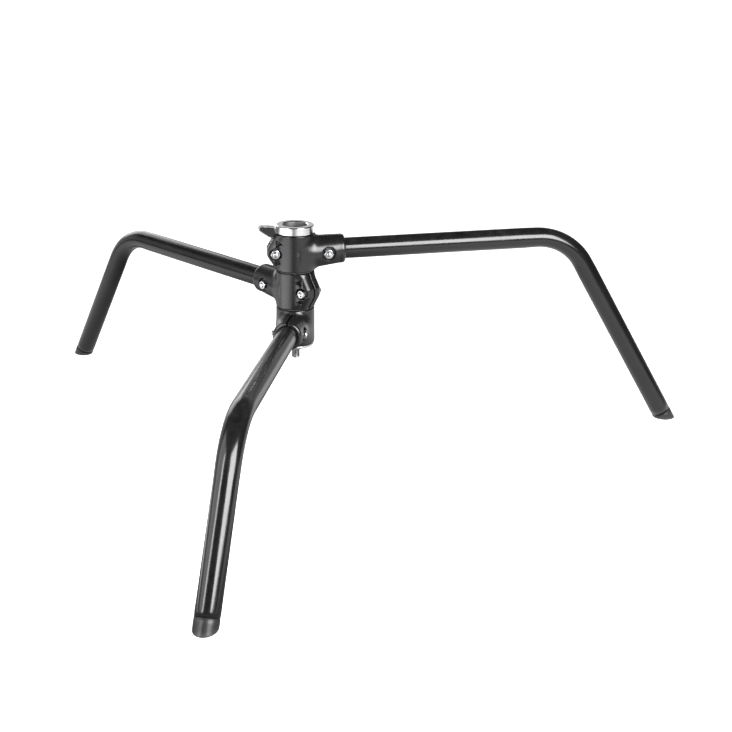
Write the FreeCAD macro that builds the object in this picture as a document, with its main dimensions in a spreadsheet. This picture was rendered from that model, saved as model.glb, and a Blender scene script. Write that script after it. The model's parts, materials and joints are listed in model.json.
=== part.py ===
import FreeCAD, Part
import math
import os

import Sketcher
from FreeCAD import Vector

# Low three-legged base of a light stand with a removable riser.  Three bent tube legs sit in three cast
# clamp collars stacked on a central sleeve.  The top leg is fixed, the middle and bottom legs swing
# about the sleeve and fold alongside it.  Each tube is clamped in its socket at its own small roll.
# A sprung thumb lever holds the riser that stands in the sleeve.
# Frame: millimetres, +Z up along the sleeve, z = 0 where the ring sits on the top collar, +X along the
# fixed leg.

DOC = FreeCAD.newDocument("light_stand_base")

SIZES = {
    # legs
    "tube_radius": 12.5,
    "tube_wall": 1.6,
    "leg_turn": 60.1,           # turn of the bend, degrees
    "bend_radius": 72.0,
    "corner_slant": 340.3,      # from the sleeve's axis to where the two runs would meet
    "tube_start": 25.0,         # inner end of the tube, from the sleeve's axis
    "cap_length": 11.0,         # along the drop's axis, tube end to floor
    "cap_spigot": 26.0,
    "cap_spigot_gap": 0.2,
    "floor_depth": 266.6,       # floor below the ring's seat
    # directions of the legs, degrees: azimuth, upward tilt of the top run and roll in the socket
    "azimuth_top": 0.0,
    "azimuth_middle": 125.9,
    "azimuth_bottom": -106.9,
    "rise_top": 1.4,
    "rise_middle": 0.6,
    "rise_bottom": 1.8,
    "roll_top": 0.3,
    "roll_middle": 2.4,
    "roll_bottom": -2.8,
    # collars
    "collar_radius": 23.2,
    "collar_height": 44.6,
    "collar_gap": 0.8,
    "running_gap": 0.05,
    "socket_radius": 17.5,
    "socket_reach": 59.4,
    "socket_nose": 4.2,
    "socket_slit": 2.2,
    "socket_flare": 4.0,
    "socket_flare_end": 31.0,
    "socket_taper_drop": 2.4,   # of the socket's underside towards the barrel
    "socket_taper_end": 52.0,
    "lug_reach": 33.5,
    "lug_root": 22.0,
    "lug_tip": 5.0,
    "lug_half": 14.5,
    "lug_split": 2.0,
    "lug_round": 4.5,
    "lug_bolt_reach": 24.8,
    "lug_bolt_drop": 1.0,
    "lug_seat": 9.5,
    "lug_recess": 7.0,
    "upper_pocket": 4.6,
    "upper_pocket_reach": 24.6,
    "upper_pocket_rise": 9.6,
    "lower_pocket": 3.0,
    "lower_pocket_reach": 24.3,
    "lower_pocket_rise": -12.6,
    "pocket_depth": 3.5,
    "socket_bolt_reach": 38.2,
    "socket_bolt_drop": 2.0,
    "socket_seat": 14.0,
    "socket_recess": 8.4,
    # M6 fasteners
    "bolt_radius": 3.0,
    "bolt_hole": 3.2,
    "bolt_head_radius": 5.0,
    "bolt_head_height": 6.0,
    "bolt_key": 2.9,
    "bolt_key_depth": 3.0,
    "nut_corner": 5.77,
    "nut_height": 5.0,
    "bolt_end": 3.2,
    # sleeve, ring and bottom
    "sleeve_radius": 17.0,
    "receiver_radius": 14.4,
    "ring_radius": 22.95,
    "ring_height": 10.0,
    "ring_seat": 4.0,
    "ring_edge": 0.7,
    "plug_height": 22.2,
    "plug_radius": 15.0,
    "plug_relief": 1.0,         # from the plug up to the end of the receiver's wall
    "disc_radius": 21.5,
    "disc_height": 3.4,
    "rod_radius": 5.0,
    "rod_hole": 5.1,
    "rod_head_radius": 8.0,
    "rod_head_height": 9.0,
    "rod_head_room": 10.2,
    "rod_head_gap": 0.2,
    "rod_end": 156.6,
    "rod_tip": 1.6,
    "rod_key": 4.6,
    "rod_key_depth": 4.0,
    "washer_radius": 9.4,
    "washer_height": 0.8,
    "thin_nut_corner": 9.8,
    "thin_nut_height": 4.5,
    "friction_washer_radius": 22.4,
    "friction_washer_gap": 0.1,
    "disc_edge": 0.6,
    # stops
    "stop_pin_radius": 1.3,
    "stop_pin_reach": 19.4,
    "stop_pin_grip": 5.0,
    "stop_pin_proud": 3.6,      # beyond the face it is pressed into
    "stop_track_radius": 21.0,
    "stop_track_depth": 3.2,
    "stop_notch": 5.0,
    "stop_notch_length": 10.0,
    "stop_notch_height": 3.6,
    "stop_play": 0.4,           # degrees beyond the pin at each end of its track
    "stop_azimuth_top": -84.0,
    "stop_azimuth_bottom": 30.0,
    "middle_open": 0.0,         # swing of the middle leg from rest to its open stop, degrees
    "middle_fold": 122.0,       # and to its folded stop
    "bottom_open": 17.0,
    "bottom_fold": 103.0,
    # set screw of the fixed collar
    "screw_radius": 2.0,
    "screw_azimuth": -85.0,
    "screw_rise": 1.1,
    "screw_sink": 0.7,
    "screw_key": 1.15,
    "screw_key_depth": 2.5,
    # riser lever
    "lever_pivot_reach": 20.2,
    "lever_pivot_depth": 7.5,
    "lever_pin_radius": 1.5,
    "lever_pin_blind": 10.0,
    "lever_pin_open": 13.5,
    "lever_hub": 3.0,
    "lever_width": 7.0,
    "lever_nose_width": 4.6,
    "lever_slot": 7.6,
    "lever_slot_depth": 14.0,
    "lever_nose_gap": 0.1,
    "lever_nose_low": -5.2,
    "lever_nose_high": -1.2,
    "window_room": 0.3,         # beside the nose
    "window_low": -6.2,
    "window_high": 2.6,
    "spring_radius": 2.1,
    "spring_wire": 0.35,
    "spring_reach": 27.5,
    "spring_foot": 16.0,
    "spring_top": 7.0,
    "spring_turns": 5.0,
    "spring_hole": 2.8,
}

SHEET = DOC.addObject("Spreadsheet::Sheet", "Sizes")
for row, (alias, number) in enumerate(SIZES.items(), start=1):
    SHEET.set(f"A{row}", alias)
    SHEET.set(f"B{row}", str(number))
    SHEET.setAlias(f"B{row}", alias)
DOC.recompute()


class Dim:
    """A length or angle as an expression on the sheet, with its value beside it."""

    def __init__(self, text, value):
        self.text = text
        self.value = value

    def __add__(self, other):
        other = dim(other)
        return Dim(f"({self.text} + {other.text})", self.value + other.value)

    def __sub__(self, other):
        other = dim(other)
        return Dim(f"({self.text} - {other.text})", self.value - other.value)

    def __mul__(self, other):
        other = dim(other)
        return Dim(f"({self.text} * {other.text})", self.value * other.value)

    def __truediv__(self, other):
        other = dim(other)
        return Dim(f"({self.text} / {other.text})", self.value / other.value)

    def __neg__(self):
        return Dim(f"(0 - {self.text})", -self.value)


def dim(item):
    """A number, an alias of the sheet or a Dim, as a Dim."""
    if isinstance(item, Dim):
        return item
    if isinstance(item, str):
        return Dim(f"Sizes.{item}", float(SHEET.get(item)))
    return Dim(f"({float(item)})", float(item))


def sine(angle):
    return Dim(f"sin({angle.text} * 1deg)", math.sin(math.radians(angle.value)))


def cosine(angle):
    return Dim(f"cos({angle.text} * 1deg)", math.cos(math.radians(angle.value)))


def tangent(angle):
    return Dim(f"tan({angle.text} * 1deg)", math.tan(math.radians(angle.value)))


UP = (0, 0, 1)
ACROSS = (0, 1, 0)
ALONG = (1, 0, 0)


def bind(item, **sizes):
    """Bind properties of an object to the sheet."""
    for name, size in sizes.items():
        item.setExpression(name, dim(size).text)
    return item


def put(item, x=0, y=0, z=0, axis=UP, angle=0):
    """Bind an object's placement: a turn about one axis, then a shift."""
    place = "; ".join(dim(size).text for size in (x, y, z))
    turn = "; ".join(str(part) for part in axis)
    rotation = f"rotation(vector({turn}); {dim(angle).text})"
    item.setExpression("Placement", f"placement(vector({place}); {rotation})")
    return item


def solid(kind, name, **sizes):
    """A Part primitive with its sizes bound."""
    return bind(DOC.addObject(f"Part::{kind}", name), **sizes)


def cylinder(name, radius, height, **place):
    return put(solid("Cylinder", name, Radius=radius, Height=height), **place)


def cut(name, base, *tools):
    """The base less each tool in turn; the last cut has the name."""
    for count, tool in enumerate(tools):
        last = count == len(tools) - 1
        result = DOC.addObject("Part::Cut", name if last else f"{name}_cut_{count}")
        result.Base = base
        result.Tool = tool
        base = result
    return base


def fuse(name, base, tool):
    result = DOC.addObject("Part::Fuse", name)
    result.Base = base
    result.Tool = tool
    return result


def hexagon(name, corner, height, **place):
    item = solid("Prism", name, Circumradius=corner, Height=height)
    item.Polygon = 6
    return put(item, **place)


# Derived sizes

HALF = dim("collar_height") / 2
PITCH = dim("collar_height") + dim("collar_gap")
STACK_BOTTOM = -(PITCH * 3)                     # top face of the retaining disc
RECEIVER_FLOOR = STACK_BOTTOM + dim("plug_height")
BEND_SETBACK = dim("bend_radius") * tangent(dim("leg_turn") / 2)
LEVELS = ("top", "middle", "bottom")
OVER = 1            # how far a cutting tool runs past the face that it opens
LONG = 60           # a cutting tool longer than the collar is wide


def axis_height(word):
    """Height of a level's socket axis."""
    return -(HALF + PITCH * LEVELS.index(word))


def socket_bolt_drop(word):
    """From a level's axis height down to its socket bolt, which is level with the tube there."""
    return dim("socket_bolt_drop") - dim("socket_bolt_reach") * tangent(dim(f"rise_{word}"))


def cross_bolts(word):
    """Name, reach, drop, seat and recess of a collar's two cross bolts."""
    return (("lug", -dim("lug_bolt_reach"), dim("lug_bolt_drop"), dim("lug_seat"), "lug_recess"),
            ("socket", dim("socket_bolt_reach"), socket_bolt_drop(word), dim("socket_seat"), "socket_recess"))


# Bodies of features

def new_body(name):
    body = DOC.addObject("PartDesign::Body", name)
    body.Label = name
    return body


def origin_plane(body, role):
    return next(item for item in body.Origin.OriginFeatures if item.Role == role)


def feature(body, kind, name, x=0, y=0, z=0, axis=UP, angle=0, **sizes):
    """A PartDesign primitive, added to or taken from the body, with its sizes and place bound."""
    item = body.newObject(f"PartDesign::{kind}", name)
    item.MapMode = "Deactivated"
    bind(item, **sizes)
    put(item, x, y, z, axis, angle)
    return item


def outline(body, name, role, points):
    """A closed polygon sketch on an origin plane, each corner's two coordinates bound."""
    sketch = body.newObject("Sketcher::SketchObject", name)
    sketch.AttachmentSupport = [(origin_plane(body, role), "")]
    sketch.MapMode = "FlatFace"
    corners = [(dim(a), dim(b)) for a, b in points]
    places = [Vector(a.value, b.value, 0) for a, b in corners]
    for start, end in zip(places, places[1:] + places[:1]):
        sketch.addGeometry(Part.LineSegment(start, end))
    count = len(places)
    for index in range(count):
        sketch.addConstraint(Sketcher.Constraint("Coincident", index, 2, (index + 1) % count, 1))
    for index, pair in enumerate(corners):
        for kind, size in zip(("DistanceX", "DistanceY"), pair):
            hold(sketch, kind, index, 1, size)
    return sketch


def hold(sketch, kind, geometry, point, size):
    """Hold one coordinate of a sketch point at a bound size, measured from the sketch's origin."""
    if size.value >= 0:
        ends = (-1, 1, geometry, point)
        text = size.text
    else:
        ends = (geometry, point, -1, 1)
        text = (-size).text
    number = sketch.addConstraint(Sketcher.Constraint(kind, *ends, abs(size.value)))
    sketch.setExpression(f"Constraints[{number}]", text)


def near(value, target, slack=0.05):
    return abs(value - target) < slack


def edge_names(shape, wanted):
    """Names of the edges whose test is true."""
    return [f"Edge{index}" for index, edge in enumerate(shape.Edges, start=1) if wanted(edge)]


# Legs

def lay_out(item, word):
    """Bind the placement of a piece drawn with its tube's top run along +X to its level and direction."""
    roll = f"rotation(vector(1; 0; 0); Sizes.roll_{word})"
    tilt = f"rotation(vector(0; 1; 0); 0 - Sizes.rise_{word})"
    turn = f"rotation(vector(0; 0; 1); Sizes.azimuth_{word})"
    height = axis_height(word).text
    item.setExpression("Placement", f"placement(vector(0; 0; {height}); {turn} * {tilt} * {roll})")
    return item


def drop_length(word):
    """From the corner of the two runs to the tube's lower end, along the drop."""
    turn, rise, roll = dim("leg_turn"), dim(f"rise_{word}"), dim(f"roll_{word}")
    corner_height = dim("floor_depth") + axis_height(word) + dim("corner_slant") * sine(rise)
    steepness = sine(turn) * cosine(roll) * cosine(rise) - cosine(turn) * sine(rise)
    return corner_height / steepness - dim("cap_length")


def leg_path(body, word):
    """The tube's centre line: a run in the socket, an arc and a straight drop."""
    path = body.newObject("Sketcher::SketchObject", f"leg_{word}_path")
    path.AttachmentSupport = [(origin_plane(body, "XZ_Plane"), "")]
    path.MapMode = "FlatFace"
    turn, drop = dim("leg_turn"), drop_length(word)
    corner = dim("corner_slant")
    start = (dim("tube_start"), dim(0))
    bend = (corner - BEND_SETBACK, dim(0))
    leave = (corner + BEND_SETBACK * cosine(turn), -(BEND_SETBACK * sine(turn)))
    end = (corner + drop * cosine(turn), -(drop * sine(turn)))
    points = [Vector(a.value, b.value, 0) for a, b in (start, bend, leave, end)]
    centre = Vector(bend[0].value, -SIZES["bend_radius"], 0)
    circle = Part.Circle(centre, Vector(0, 0, 1), SIZES["bend_radius"])
    path.addGeometry(Part.LineSegment(points[0], points[1]))
    path.addGeometry(Part.ArcOfCircle(circle, math.radians(90 - SIZES["leg_turn"]), math.radians(90)))
    path.addGeometry(Part.LineSegment(points[2], points[3]))
    path.addConstraint(Sketcher.Constraint("Coincident", 0, 2, 1, 2))
    path.addConstraint(Sketcher.Constraint("Coincident", 1, 1, 2, 1))
    for geometry, point, place in ((0, 1, start), (0, 2, bend), (2, 1, leave), (2, 2, end)):
        for kind, size in zip(("DistanceX", "DistanceY"), place):
            hold(path, kind, geometry, point, size)
    number = path.addConstraint(Sketcher.Constraint("Radius", 1, SIZES["bend_radius"]))
    path.setExpression(f"Constraints[{number}]", "Sizes.bend_radius")
    return path


def leg_section(body, word):
    """The tube's two circles at the start of its centre line."""
    section = body.newObject("Sketcher::SketchObject", f"leg_{word}_section")
    section.AttachmentSupport = [(origin_plane(body, "YZ_Plane"), "")]
    section.MapMode = "FlatFace"
    section.setExpression("AttachmentOffset.Base.z", dim("tube_start").text)
    for index, size in enumerate((dim("tube_radius"), dim("tube_radius") - dim("tube_wall"))):
        section.addGeometry(Part.Circle(Vector(0, 0, 0), Vector(0, 0, 1), size.value))
        section.addConstraint(Sketcher.Constraint("Coincident", index, 3, -1, 1))
        number = section.addConstraint(Sketcher.Constraint("Radius", index, size.value))
        section.setExpression(f"Constraints[{number}]", size.text)
    return section


def leg_tube(word):
    """A tube bent once, with the cross bolt's hole, which stays level whatever the tube's roll."""
    body = new_body(f"leg_{word}")
    path = leg_path(body, word)
    section = leg_section(body, word)
    DOC.recompute()
    pipe = body.newObject("PartDesign::AdditivePipe", f"leg_{word}_pipe")
    pipe.Profile = section
    pipe.Spine = path
    roll, drop, half = dim(f"roll_{word}"), dim("socket_bolt_drop"), dim(LONG) / 2
    feature(body, "SubtractiveCylinder", f"leg_{word}_hole", x="socket_bolt_reach",
            y=half * cosine(roll) - drop * sine(roll), z=-(half * sine(roll)) - drop * cosine(roll),
            axis=ALONG, angle=dim(90) - roll, Radius="bolt_hole", Height=LONG)
    return lay_out(body, word)


def foot_cap(word):
    """A plug in the tube's lower end with a rim as wide as the tube, cut level with the floor."""
    turn, end = dim("leg_turn"), drop_length(word)
    spigot_start = end - dim("cap_spigot")
    spigot_radius = dim("tube_radius") - dim("tube_wall") - dim("cap_spigot_gap")
    name = f"foot_cap_{word}"
    pieces = []
    for part, radius, start, length in (
            ("rim", dim("tube_radius"), end, dim("cap_length") + dim("tube_radius")),
            ("spigot", spigot_radius, spigot_start, dim("cap_spigot"))):
        pieces.append(cylinder(f"{name}_{part}", radius, length,
                               x=dim("corner_slant") + start * cosine(turn), z=-(start * sine(turn)),
                               axis=ACROSS, angle=turn + 90))
    plug = lay_out(fuse(f"{name}_plug", *pieces), word)
    span = dim("corner_slant") * 4
    floor = put(solid("Box", f"{name}_floor", Length=span, Width=span, Height=LONG),
                x=-span / 2, y=-span / 2, z=-dim("floor_depth") - LONG)
    return cut(name, plug, floor)


# Collars

def collar(word, bore):
    """A cast clamp collar: barrel, slit leg socket on the +X side and split clamp lugs on the -X side."""
    name = f"collar_{word}"
    body = new_body(name)
    rise = dim(f"rise_{word}")
    nose_start = dim("socket_reach") - dim("socket_nose")
    feature(body, "AdditiveCylinder", f"{name}_barrel", z=-HALF,
            Radius="collar_radius", Height="collar_height")
    feature(body, "AdditiveCylinder", f"{name}_socket", axis=ACROSS, angle=dim(90) - rise,
            Radius="socket_radius", Height=nose_start)
    lugs = outline(body, f"{name}_lug_outline", "XZ_Plane", [
        (-dim("receiver_radius"), HALF), (-dim("lug_root"), HALF), (-dim("lug_reach"), dim("lug_tip")),
        (-dim("lug_reach"), -dim("lug_tip")), (-dim("lug_root"), -HALF), (-dim("receiver_radius"), -HALF)])
    pad = body.newObject("PartDesign::Pad", f"{name}_lugs")
    pad.Profile = lugs
    pad.SideType = "Symmetric"
    bind(pad, Length=dim("lug_half") * 2)
    DOC.recompute()
    round_lug_tips(body, name)
    flare_start = dim("receiver_radius")
    feature(body, "AdditiveCone", f"{name}_flare", x=flare_start * cosine(rise),
            z=flare_start * sine(rise), axis=ACROSS, angle=dim(90) - rise,
            Radius1=dim("socket_radius") + dim("socket_flare"), Radius2="socket_radius",
            Height=dim("socket_flare_end") - flare_start)
    taper_drop, taper_length = dim("socket_taper_drop"), dim("socket_taper_end") - flare_start
    taper_tilt = Dim(f"atan({taper_drop.text} / {taper_length.text}) / 1deg",
                     math.degrees(math.atan(taper_drop.value / taper_length.value)))
    feature(body, "AdditiveCone", f"{name}_taper", x=flare_start * cosine(rise),
            z=flare_start * sine(rise) - taper_drop, axis=ACROSS, angle=dim(90) - rise - taper_tilt,
            Radius1=dim("socket_radius") + taper_drop, Radius2="socket_radius", Height=taper_length)
    feature(body, "AdditiveCone", f"{name}_mouth", x=nose_start * cosine(rise), z=nose_start * sine(rise),
            axis=ACROSS, angle=dim(90) - rise, Radius1="socket_radius",
            Radius2=dim("socket_radius") - dim("socket_nose"), Height="socket_nose")
    feature(body, "SubtractiveCylinder", f"{name}_bore", z=-HALF - OVER,
            Radius=bore, Height=dim("collar_height") + OVER * 2)
    feature(body, "SubtractiveCylinder", f"{name}_tube_bore", x=dim("tube_start") * cosine(rise),
            z=dim("tube_start") * sine(rise), axis=ACROSS, angle=dim(90) - rise,
            Radius="tube_radius", Height="socket_reach")
    feature(body, "SubtractiveBox", f"{name}_slit", x="tube_start", y=-dim("socket_slit") / 2,
            Length="socket_reach", Width="socket_slit", Height="collar_height")
    feature(body, "SubtractiveBox", f"{name}_split", x=-dim("lug_reach") - OVER, y=-dim("lug_split") / 2,
            z=-HALF - OVER, Length="lug_reach", Width="lug_split", Height=dim("collar_height") + OVER * 2)
    for part, reach, drop, seat, recess in cross_bolts(word):
        feature(body, "SubtractiveCylinder", f"{name}_{part}_hole", x=reach, y=LONG / 2, z=-drop,
                axis=ALONG, angle=90, Radius="bolt_hole", Height=LONG)
        for side, start in (("head", seat + LONG), ("nut", -seat)):
            feature(body, "SubtractiveCylinder", f"{name}_{part}_{side}_seat", x=reach, y=start, z=-drop,
                    axis=ALONG, angle=90, Radius=recess, Height=LONG)
    return put(body, z=axis_height(word), angle=f"azimuth_{word}")


def round_lug_tips(body, name):
    """Round the two outer edges of the lugs."""
    base = body.Tip
    tips = edge_names(base.Shape, lambda edge: near(edge.BoundBox.XMax, -SIZES["lug_reach"])
                      and edge.BoundBox.YLength > SIZES["lug_half"])
    rounding = body.newObject("PartDesign::Fillet", f"{name}_tips")
    rounding.Base = (base, tips)
    bind(rounding, Radius="lug_round")
    DOC.recompute()


def lug_pockets(body, name):
    """Three-sided pockets cored into both outer faces of the lugs, above and below the bolt."""
    face = dim("lug_half") - dim("pocket_depth")
    length = dim("pocket_depth") + OVER
    for label in ("upper", "lower"):
        for side, start in (("head", face + length), ("nut", -face)):
            pocket = feature(body, "SubtractivePrism", f"{name}_{label}_{side}_pocket",
                             x=-dim(f"{label}_pocket_reach"), y=start, z=f"{label}_pocket_rise",
                             axis=ALONG, angle=90, Circumradius=f"{label}_pocket", Height=length)
            pocket.Polygon = 3


def stop_track(body, name, stop, azimuth, before, beyond, z):
    """An arc-shaped step round the bore for a stop pin, as long as the leg's swing."""
    half = Dim("asin(Sizes.stop_pin_radius / Sizes.stop_pin_reach) / 1deg",
               math.degrees(math.asin(SIZES["stop_pin_radius"] / SIZES["stop_pin_reach"])))
    room = half + dim("stop_play")
    start = dim(stop) - dim(azimuth) - dim(before) - room
    feature(body, "SubtractiveCylinder", f"{name}_stop_track", z=z, angle=start, Radius="stop_track_radius",
            Height="stop_track_depth", Angle=dim(before) + dim(beyond) + room * 2)


def outward(azimuth):
    """The level axis that tips +Z over to point along an azimuth when it turns by 90 degrees."""
    angle = math.radians(azimuth.value)
    return (-math.sin(angle), math.cos(angle), 0)


def fixed_collar_details(body, name):
    """The top collar's set screw hole, stop pin hole and notch, and the slot and holes of the lever."""
    azimuth = dim("screw_azimuth")
    inner = dim("receiver_radius")
    feature(body, "SubtractiveCylinder", f"{name}_screw_hole", x=cosine(azimuth) * inner,
            y=sine(azimuth) * inner, z="screw_rise", axis=outward(azimuth), angle=90,
            Radius="screw_radius", Height=inner)
    azimuth = dim("stop_azimuth_top")
    feature(body, "SubtractiveCylinder", f"{name}_pin_hole", x=dim("stop_pin_reach") * cosine(azimuth),
            y=dim("stop_pin_reach") * sine(azimuth), z=-HALF - OVER, Radius="stop_pin_radius",
            Height=dim("stop_pin_grip") + OVER)
    reach = dim("stop_pin_reach") - OVER
    half = dim("stop_notch") / 2
    feature(body, "SubtractiveBox", f"{name}_notch", x=reach * cosine(azimuth) + half * sine(azimuth),
            y=reach * sine(azimuth) - half * cosine(azimuth), z=-HALF - OVER, angle=azimuth,
            Length="stop_notch_length", Width="stop_notch", Height=dim("stop_notch_height") + OVER)
    feature(body, "SubtractiveBox", f"{name}_lever_slot", x=-dim("lug_reach") - OVER,
            y=-dim("lever_slot") / 2, z=HALF - dim("lever_slot_depth"),
            Length=dim("lug_reach") + OVER - dim("receiver_radius"),
            Width="lever_slot", Height=dim("lever_slot_depth") + OVER)
    feature(body, "SubtractiveCylinder", f"{name}_spring_pocket", x=-dim("spring_reach"),
            z=HALF - dim("spring_foot"), Radius="spring_hole", Height="spring_foot")
    feature(body, "SubtractiveCylinder", f"{name}_lever_pin_hole", x=-dim("lever_pivot_reach"),
            y=-dim("lever_pin_blind"), z=HALF - dim("lever_pivot_depth"), axis=ALONG, angle=-90,
            Radius="lever_pin_radius", Height=LONG / 2)


# Fasteners

def cross_bolt(name, word, reach, drop, seat):
    """A socket-head bolt across a collar, its head on the +Y side."""
    head = cylinder(f"{name}_head", "bolt_head_radius", "bolt_head_height", x=reach, y=seat, z=-drop,
                    axis=ALONG, angle=-90)
    length = seat * 2 + dim("nut_height") + dim("bolt_end")
    shank = cylinder(f"{name}_shank", "bolt_radius", length, x=reach, y=seat, z=-drop, axis=ALONG, angle=90)
    key = hexagon(f"{name}_key", "bolt_key", "bolt_key_depth", x=reach,
                  y=seat + dim("bolt_head_height") - dim("bolt_key_depth"), z=-drop, axis=ALONG, angle=-90)
    bolt = cut(name, fuse(f"{name}_blank", head, shank), key)
    return put(bolt, z=axis_height(word), angle=f"azimuth_{word}")


def cross_nut(name, word, reach, drop, seat):
    """The bolt's hexagon nut, on the -Y side."""
    outer = hexagon(f"{name}_hexagon", "nut_corner", "nut_height", x=reach, y=-seat, z=-drop,
                    axis=ALONG, angle=90)
    hole = cylinder(f"{name}_hole", "bolt_radius", LONG, x=reach, y=LONG / 2, z=-drop, axis=ALONG, angle=90)
    return put(cut(name, outer, hole), z=axis_height(word), angle=f"azimuth_{word}")


def turned(name, points):
    """A body turned about Z from half its section, points as (radius, height)."""
    body = new_body(name)
    profile = outline(body, f"{name}_section", "XZ_Plane", points)
    DOC.recompute()
    spin = body.newObject("PartDesign::Revolution", f"{name}_turn")
    spin.Profile = profile
    spin.ReferenceAxis = (profile, ["V_Axis"])
    spin.Angle = 360
    return body


def pin_place(stop):
    """Plan position of a stop pin."""
    return dim("stop_pin_reach") * cosine(dim(stop)), dim("stop_pin_reach") * sine(dim(stop))


def central_sleeve():
    """The tube that the collars stand on.  Its bore takes the riser, a wider bore below takes the plug, and
    its window the lever's nose."""
    bore, outer, plug = dim("receiver_radius"), dim("sleeve_radius"), dim("plug_radius")
    top, step = dim("ring_seat"), RECEIVER_FLOOR + dim("plug_relief")
    sleeve = turned("central_sleeve", [
        (plug, STACK_BOTTOM), (outer, STACK_BOTTOM), (outer, top), (bore, top), (bore, step), (plug, step)])
    half = dim("lever_nose_width") / 2 + dim("window_room")
    feature(sleeve, "SubtractiveBox", "nose_window", x=-outer - OVER, y=-half, z="window_low",
            Length=outer - bore + OVER * 2, Width=half * 2, Height=dim("window_high") - dim("window_low"))
    return sleeve


def top_ring():
    """The bright collar round the receiver's mouth, seated on the sleeve and the top collar."""
    bore, outer, height = dim("receiver_radius"), dim("ring_radius"), dim("ring_height")
    seat, edge = dim("ring_seat"), dim("ring_edge")
    return turned("top_ring", [
        ("sleeve_radius", 0), (outer - edge, 0), (outer, edge), (outer, height - edge),
        (outer - edge, height),
        (bore + edge, height), (bore, height - edge), (bore, seat), ("sleeve_radius", seat)])


def retaining_disc():
    """The bright disc that closes the stack from below and carries the bottom leg's stop pin."""
    top, edge = STACK_BOTTOM, dim("disc_edge")
    low = top - dim("disc_height")
    disc = turned("retaining_disc", [
        ("rod_hole", low), (dim("disc_radius") - edge, low), ("disc_radius", low + edge),
        ("disc_radius", top - edge), (dim("disc_radius") - edge, top), ("rod_hole", top)])
    x, y = pin_place("stop_azimuth_bottom")
    feature(disc, "SubtractiveCylinder", "disc_pin_hole", x=x, y=y, z=low - OVER, Radius="stop_pin_radius",
            Height=dim("disc_height") + OVER * 2)
    return disc


def sleeve_plug():
    """The solid end of the receiver, drawn down by the central rod."""
    top, low = RECEIVER_FLOOR, STACK_BOTTOM
    seat = top - dim("rod_head_room")
    head = dim("rod_head_radius") + dim("rod_head_gap")
    return turned("sleeve_plug", [
        ("rod_hole", low), ("plug_radius", low), ("plug_radius", top), (head, top), (head, seat),
        ("rod_hole", seat)])


def central_rod():
    """The bolt through plug and disc, with a threaded end below the nut."""
    seat = RECEIVER_FLOOR - dim("rod_head_room")
    top = seat + dim("rod_head_height")
    tip = dim("rod_tip")
    rod = turned("central_rod", [
        (0, top), (0, -dim("rod_end")), (dim("rod_radius") - tip, -dim("rod_end")),
        ("rod_radius", -dim("rod_end") + tip), ("rod_radius", seat), ("rod_head_radius", seat),
        ("rod_head_radius", top)])
    key = feature(rod, "SubtractivePrism", "central_rod_key", z=top - dim("rod_key_depth"),
                  Circumradius="rod_key", Height=dim("rod_key_depth") + OVER)
    key.Polygon = 6
    return rod


def plain_washer(name, inner, outer, low, height):
    return turned(name, [(inner, low), (outer, low), (outer, low + height), (inner, low + height)])


def thin_nut(low):
    outer = hexagon("central_nut_hexagon", "thin_nut_corner", "thin_nut_height", z=low)
    hole = cylinder("central_nut_hole", "rod_radius", dim("thin_nut_height") + OVER * 2, z=low - OVER)
    return cut("central_nut", outer, hole)


def friction_washer(name, word, stop=None):
    """A thin washer under a collar, with a hole where a stop pin passes."""
    gap = dim("friction_washer_gap")
    low = axis_height(word) + HALF - PITCH + gap
    washer = plain_washer(name, dim("sleeve_radius") + dim("running_gap"), "friction_washer_radius", low,
                          dim("collar_gap") - gap * 2)
    if stop:
        x, y = pin_place(stop)
        feature(washer, "SubtractiveCylinder", f"{name}_pin_hole", x=x, y=y, z=low - OVER,
                Radius=dim("stop_pin_radius") + gap, Height=dim("collar_gap") + OVER * 2)
    return washer


def stop_pin(name, stop, low, length):
    x, y = pin_place(stop)
    return cylinder(name, "stop_pin_radius", length, x=x, y=y, z=low)


def set_screw():
    """The grub screw that locks the top collar to the sleeve."""
    azimuth = dim("screw_azimuth")
    start = dim("sleeve_radius") + dim("running_gap") / 2
    end = dim("collar_radius") - dim("screw_sink")
    socket = end - dim("screw_key_depth")
    height = axis_height("top") + dim("screw_rise")
    screw = cylinder("set_screw_blank", "screw_radius", end - start, x=start * cosine(azimuth),
                     y=start * sine(azimuth), z=height, axis=outward(azimuth), angle=90)
    key = hexagon("set_screw_key", "screw_key", dim("screw_key_depth") + OVER, x=socket * cosine(azimuth),
                  y=socket * sine(azimuth), z=height, axis=outward(azimuth), angle=90)
    return cut("set_screw", screw, key)


# Riser lever

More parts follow.
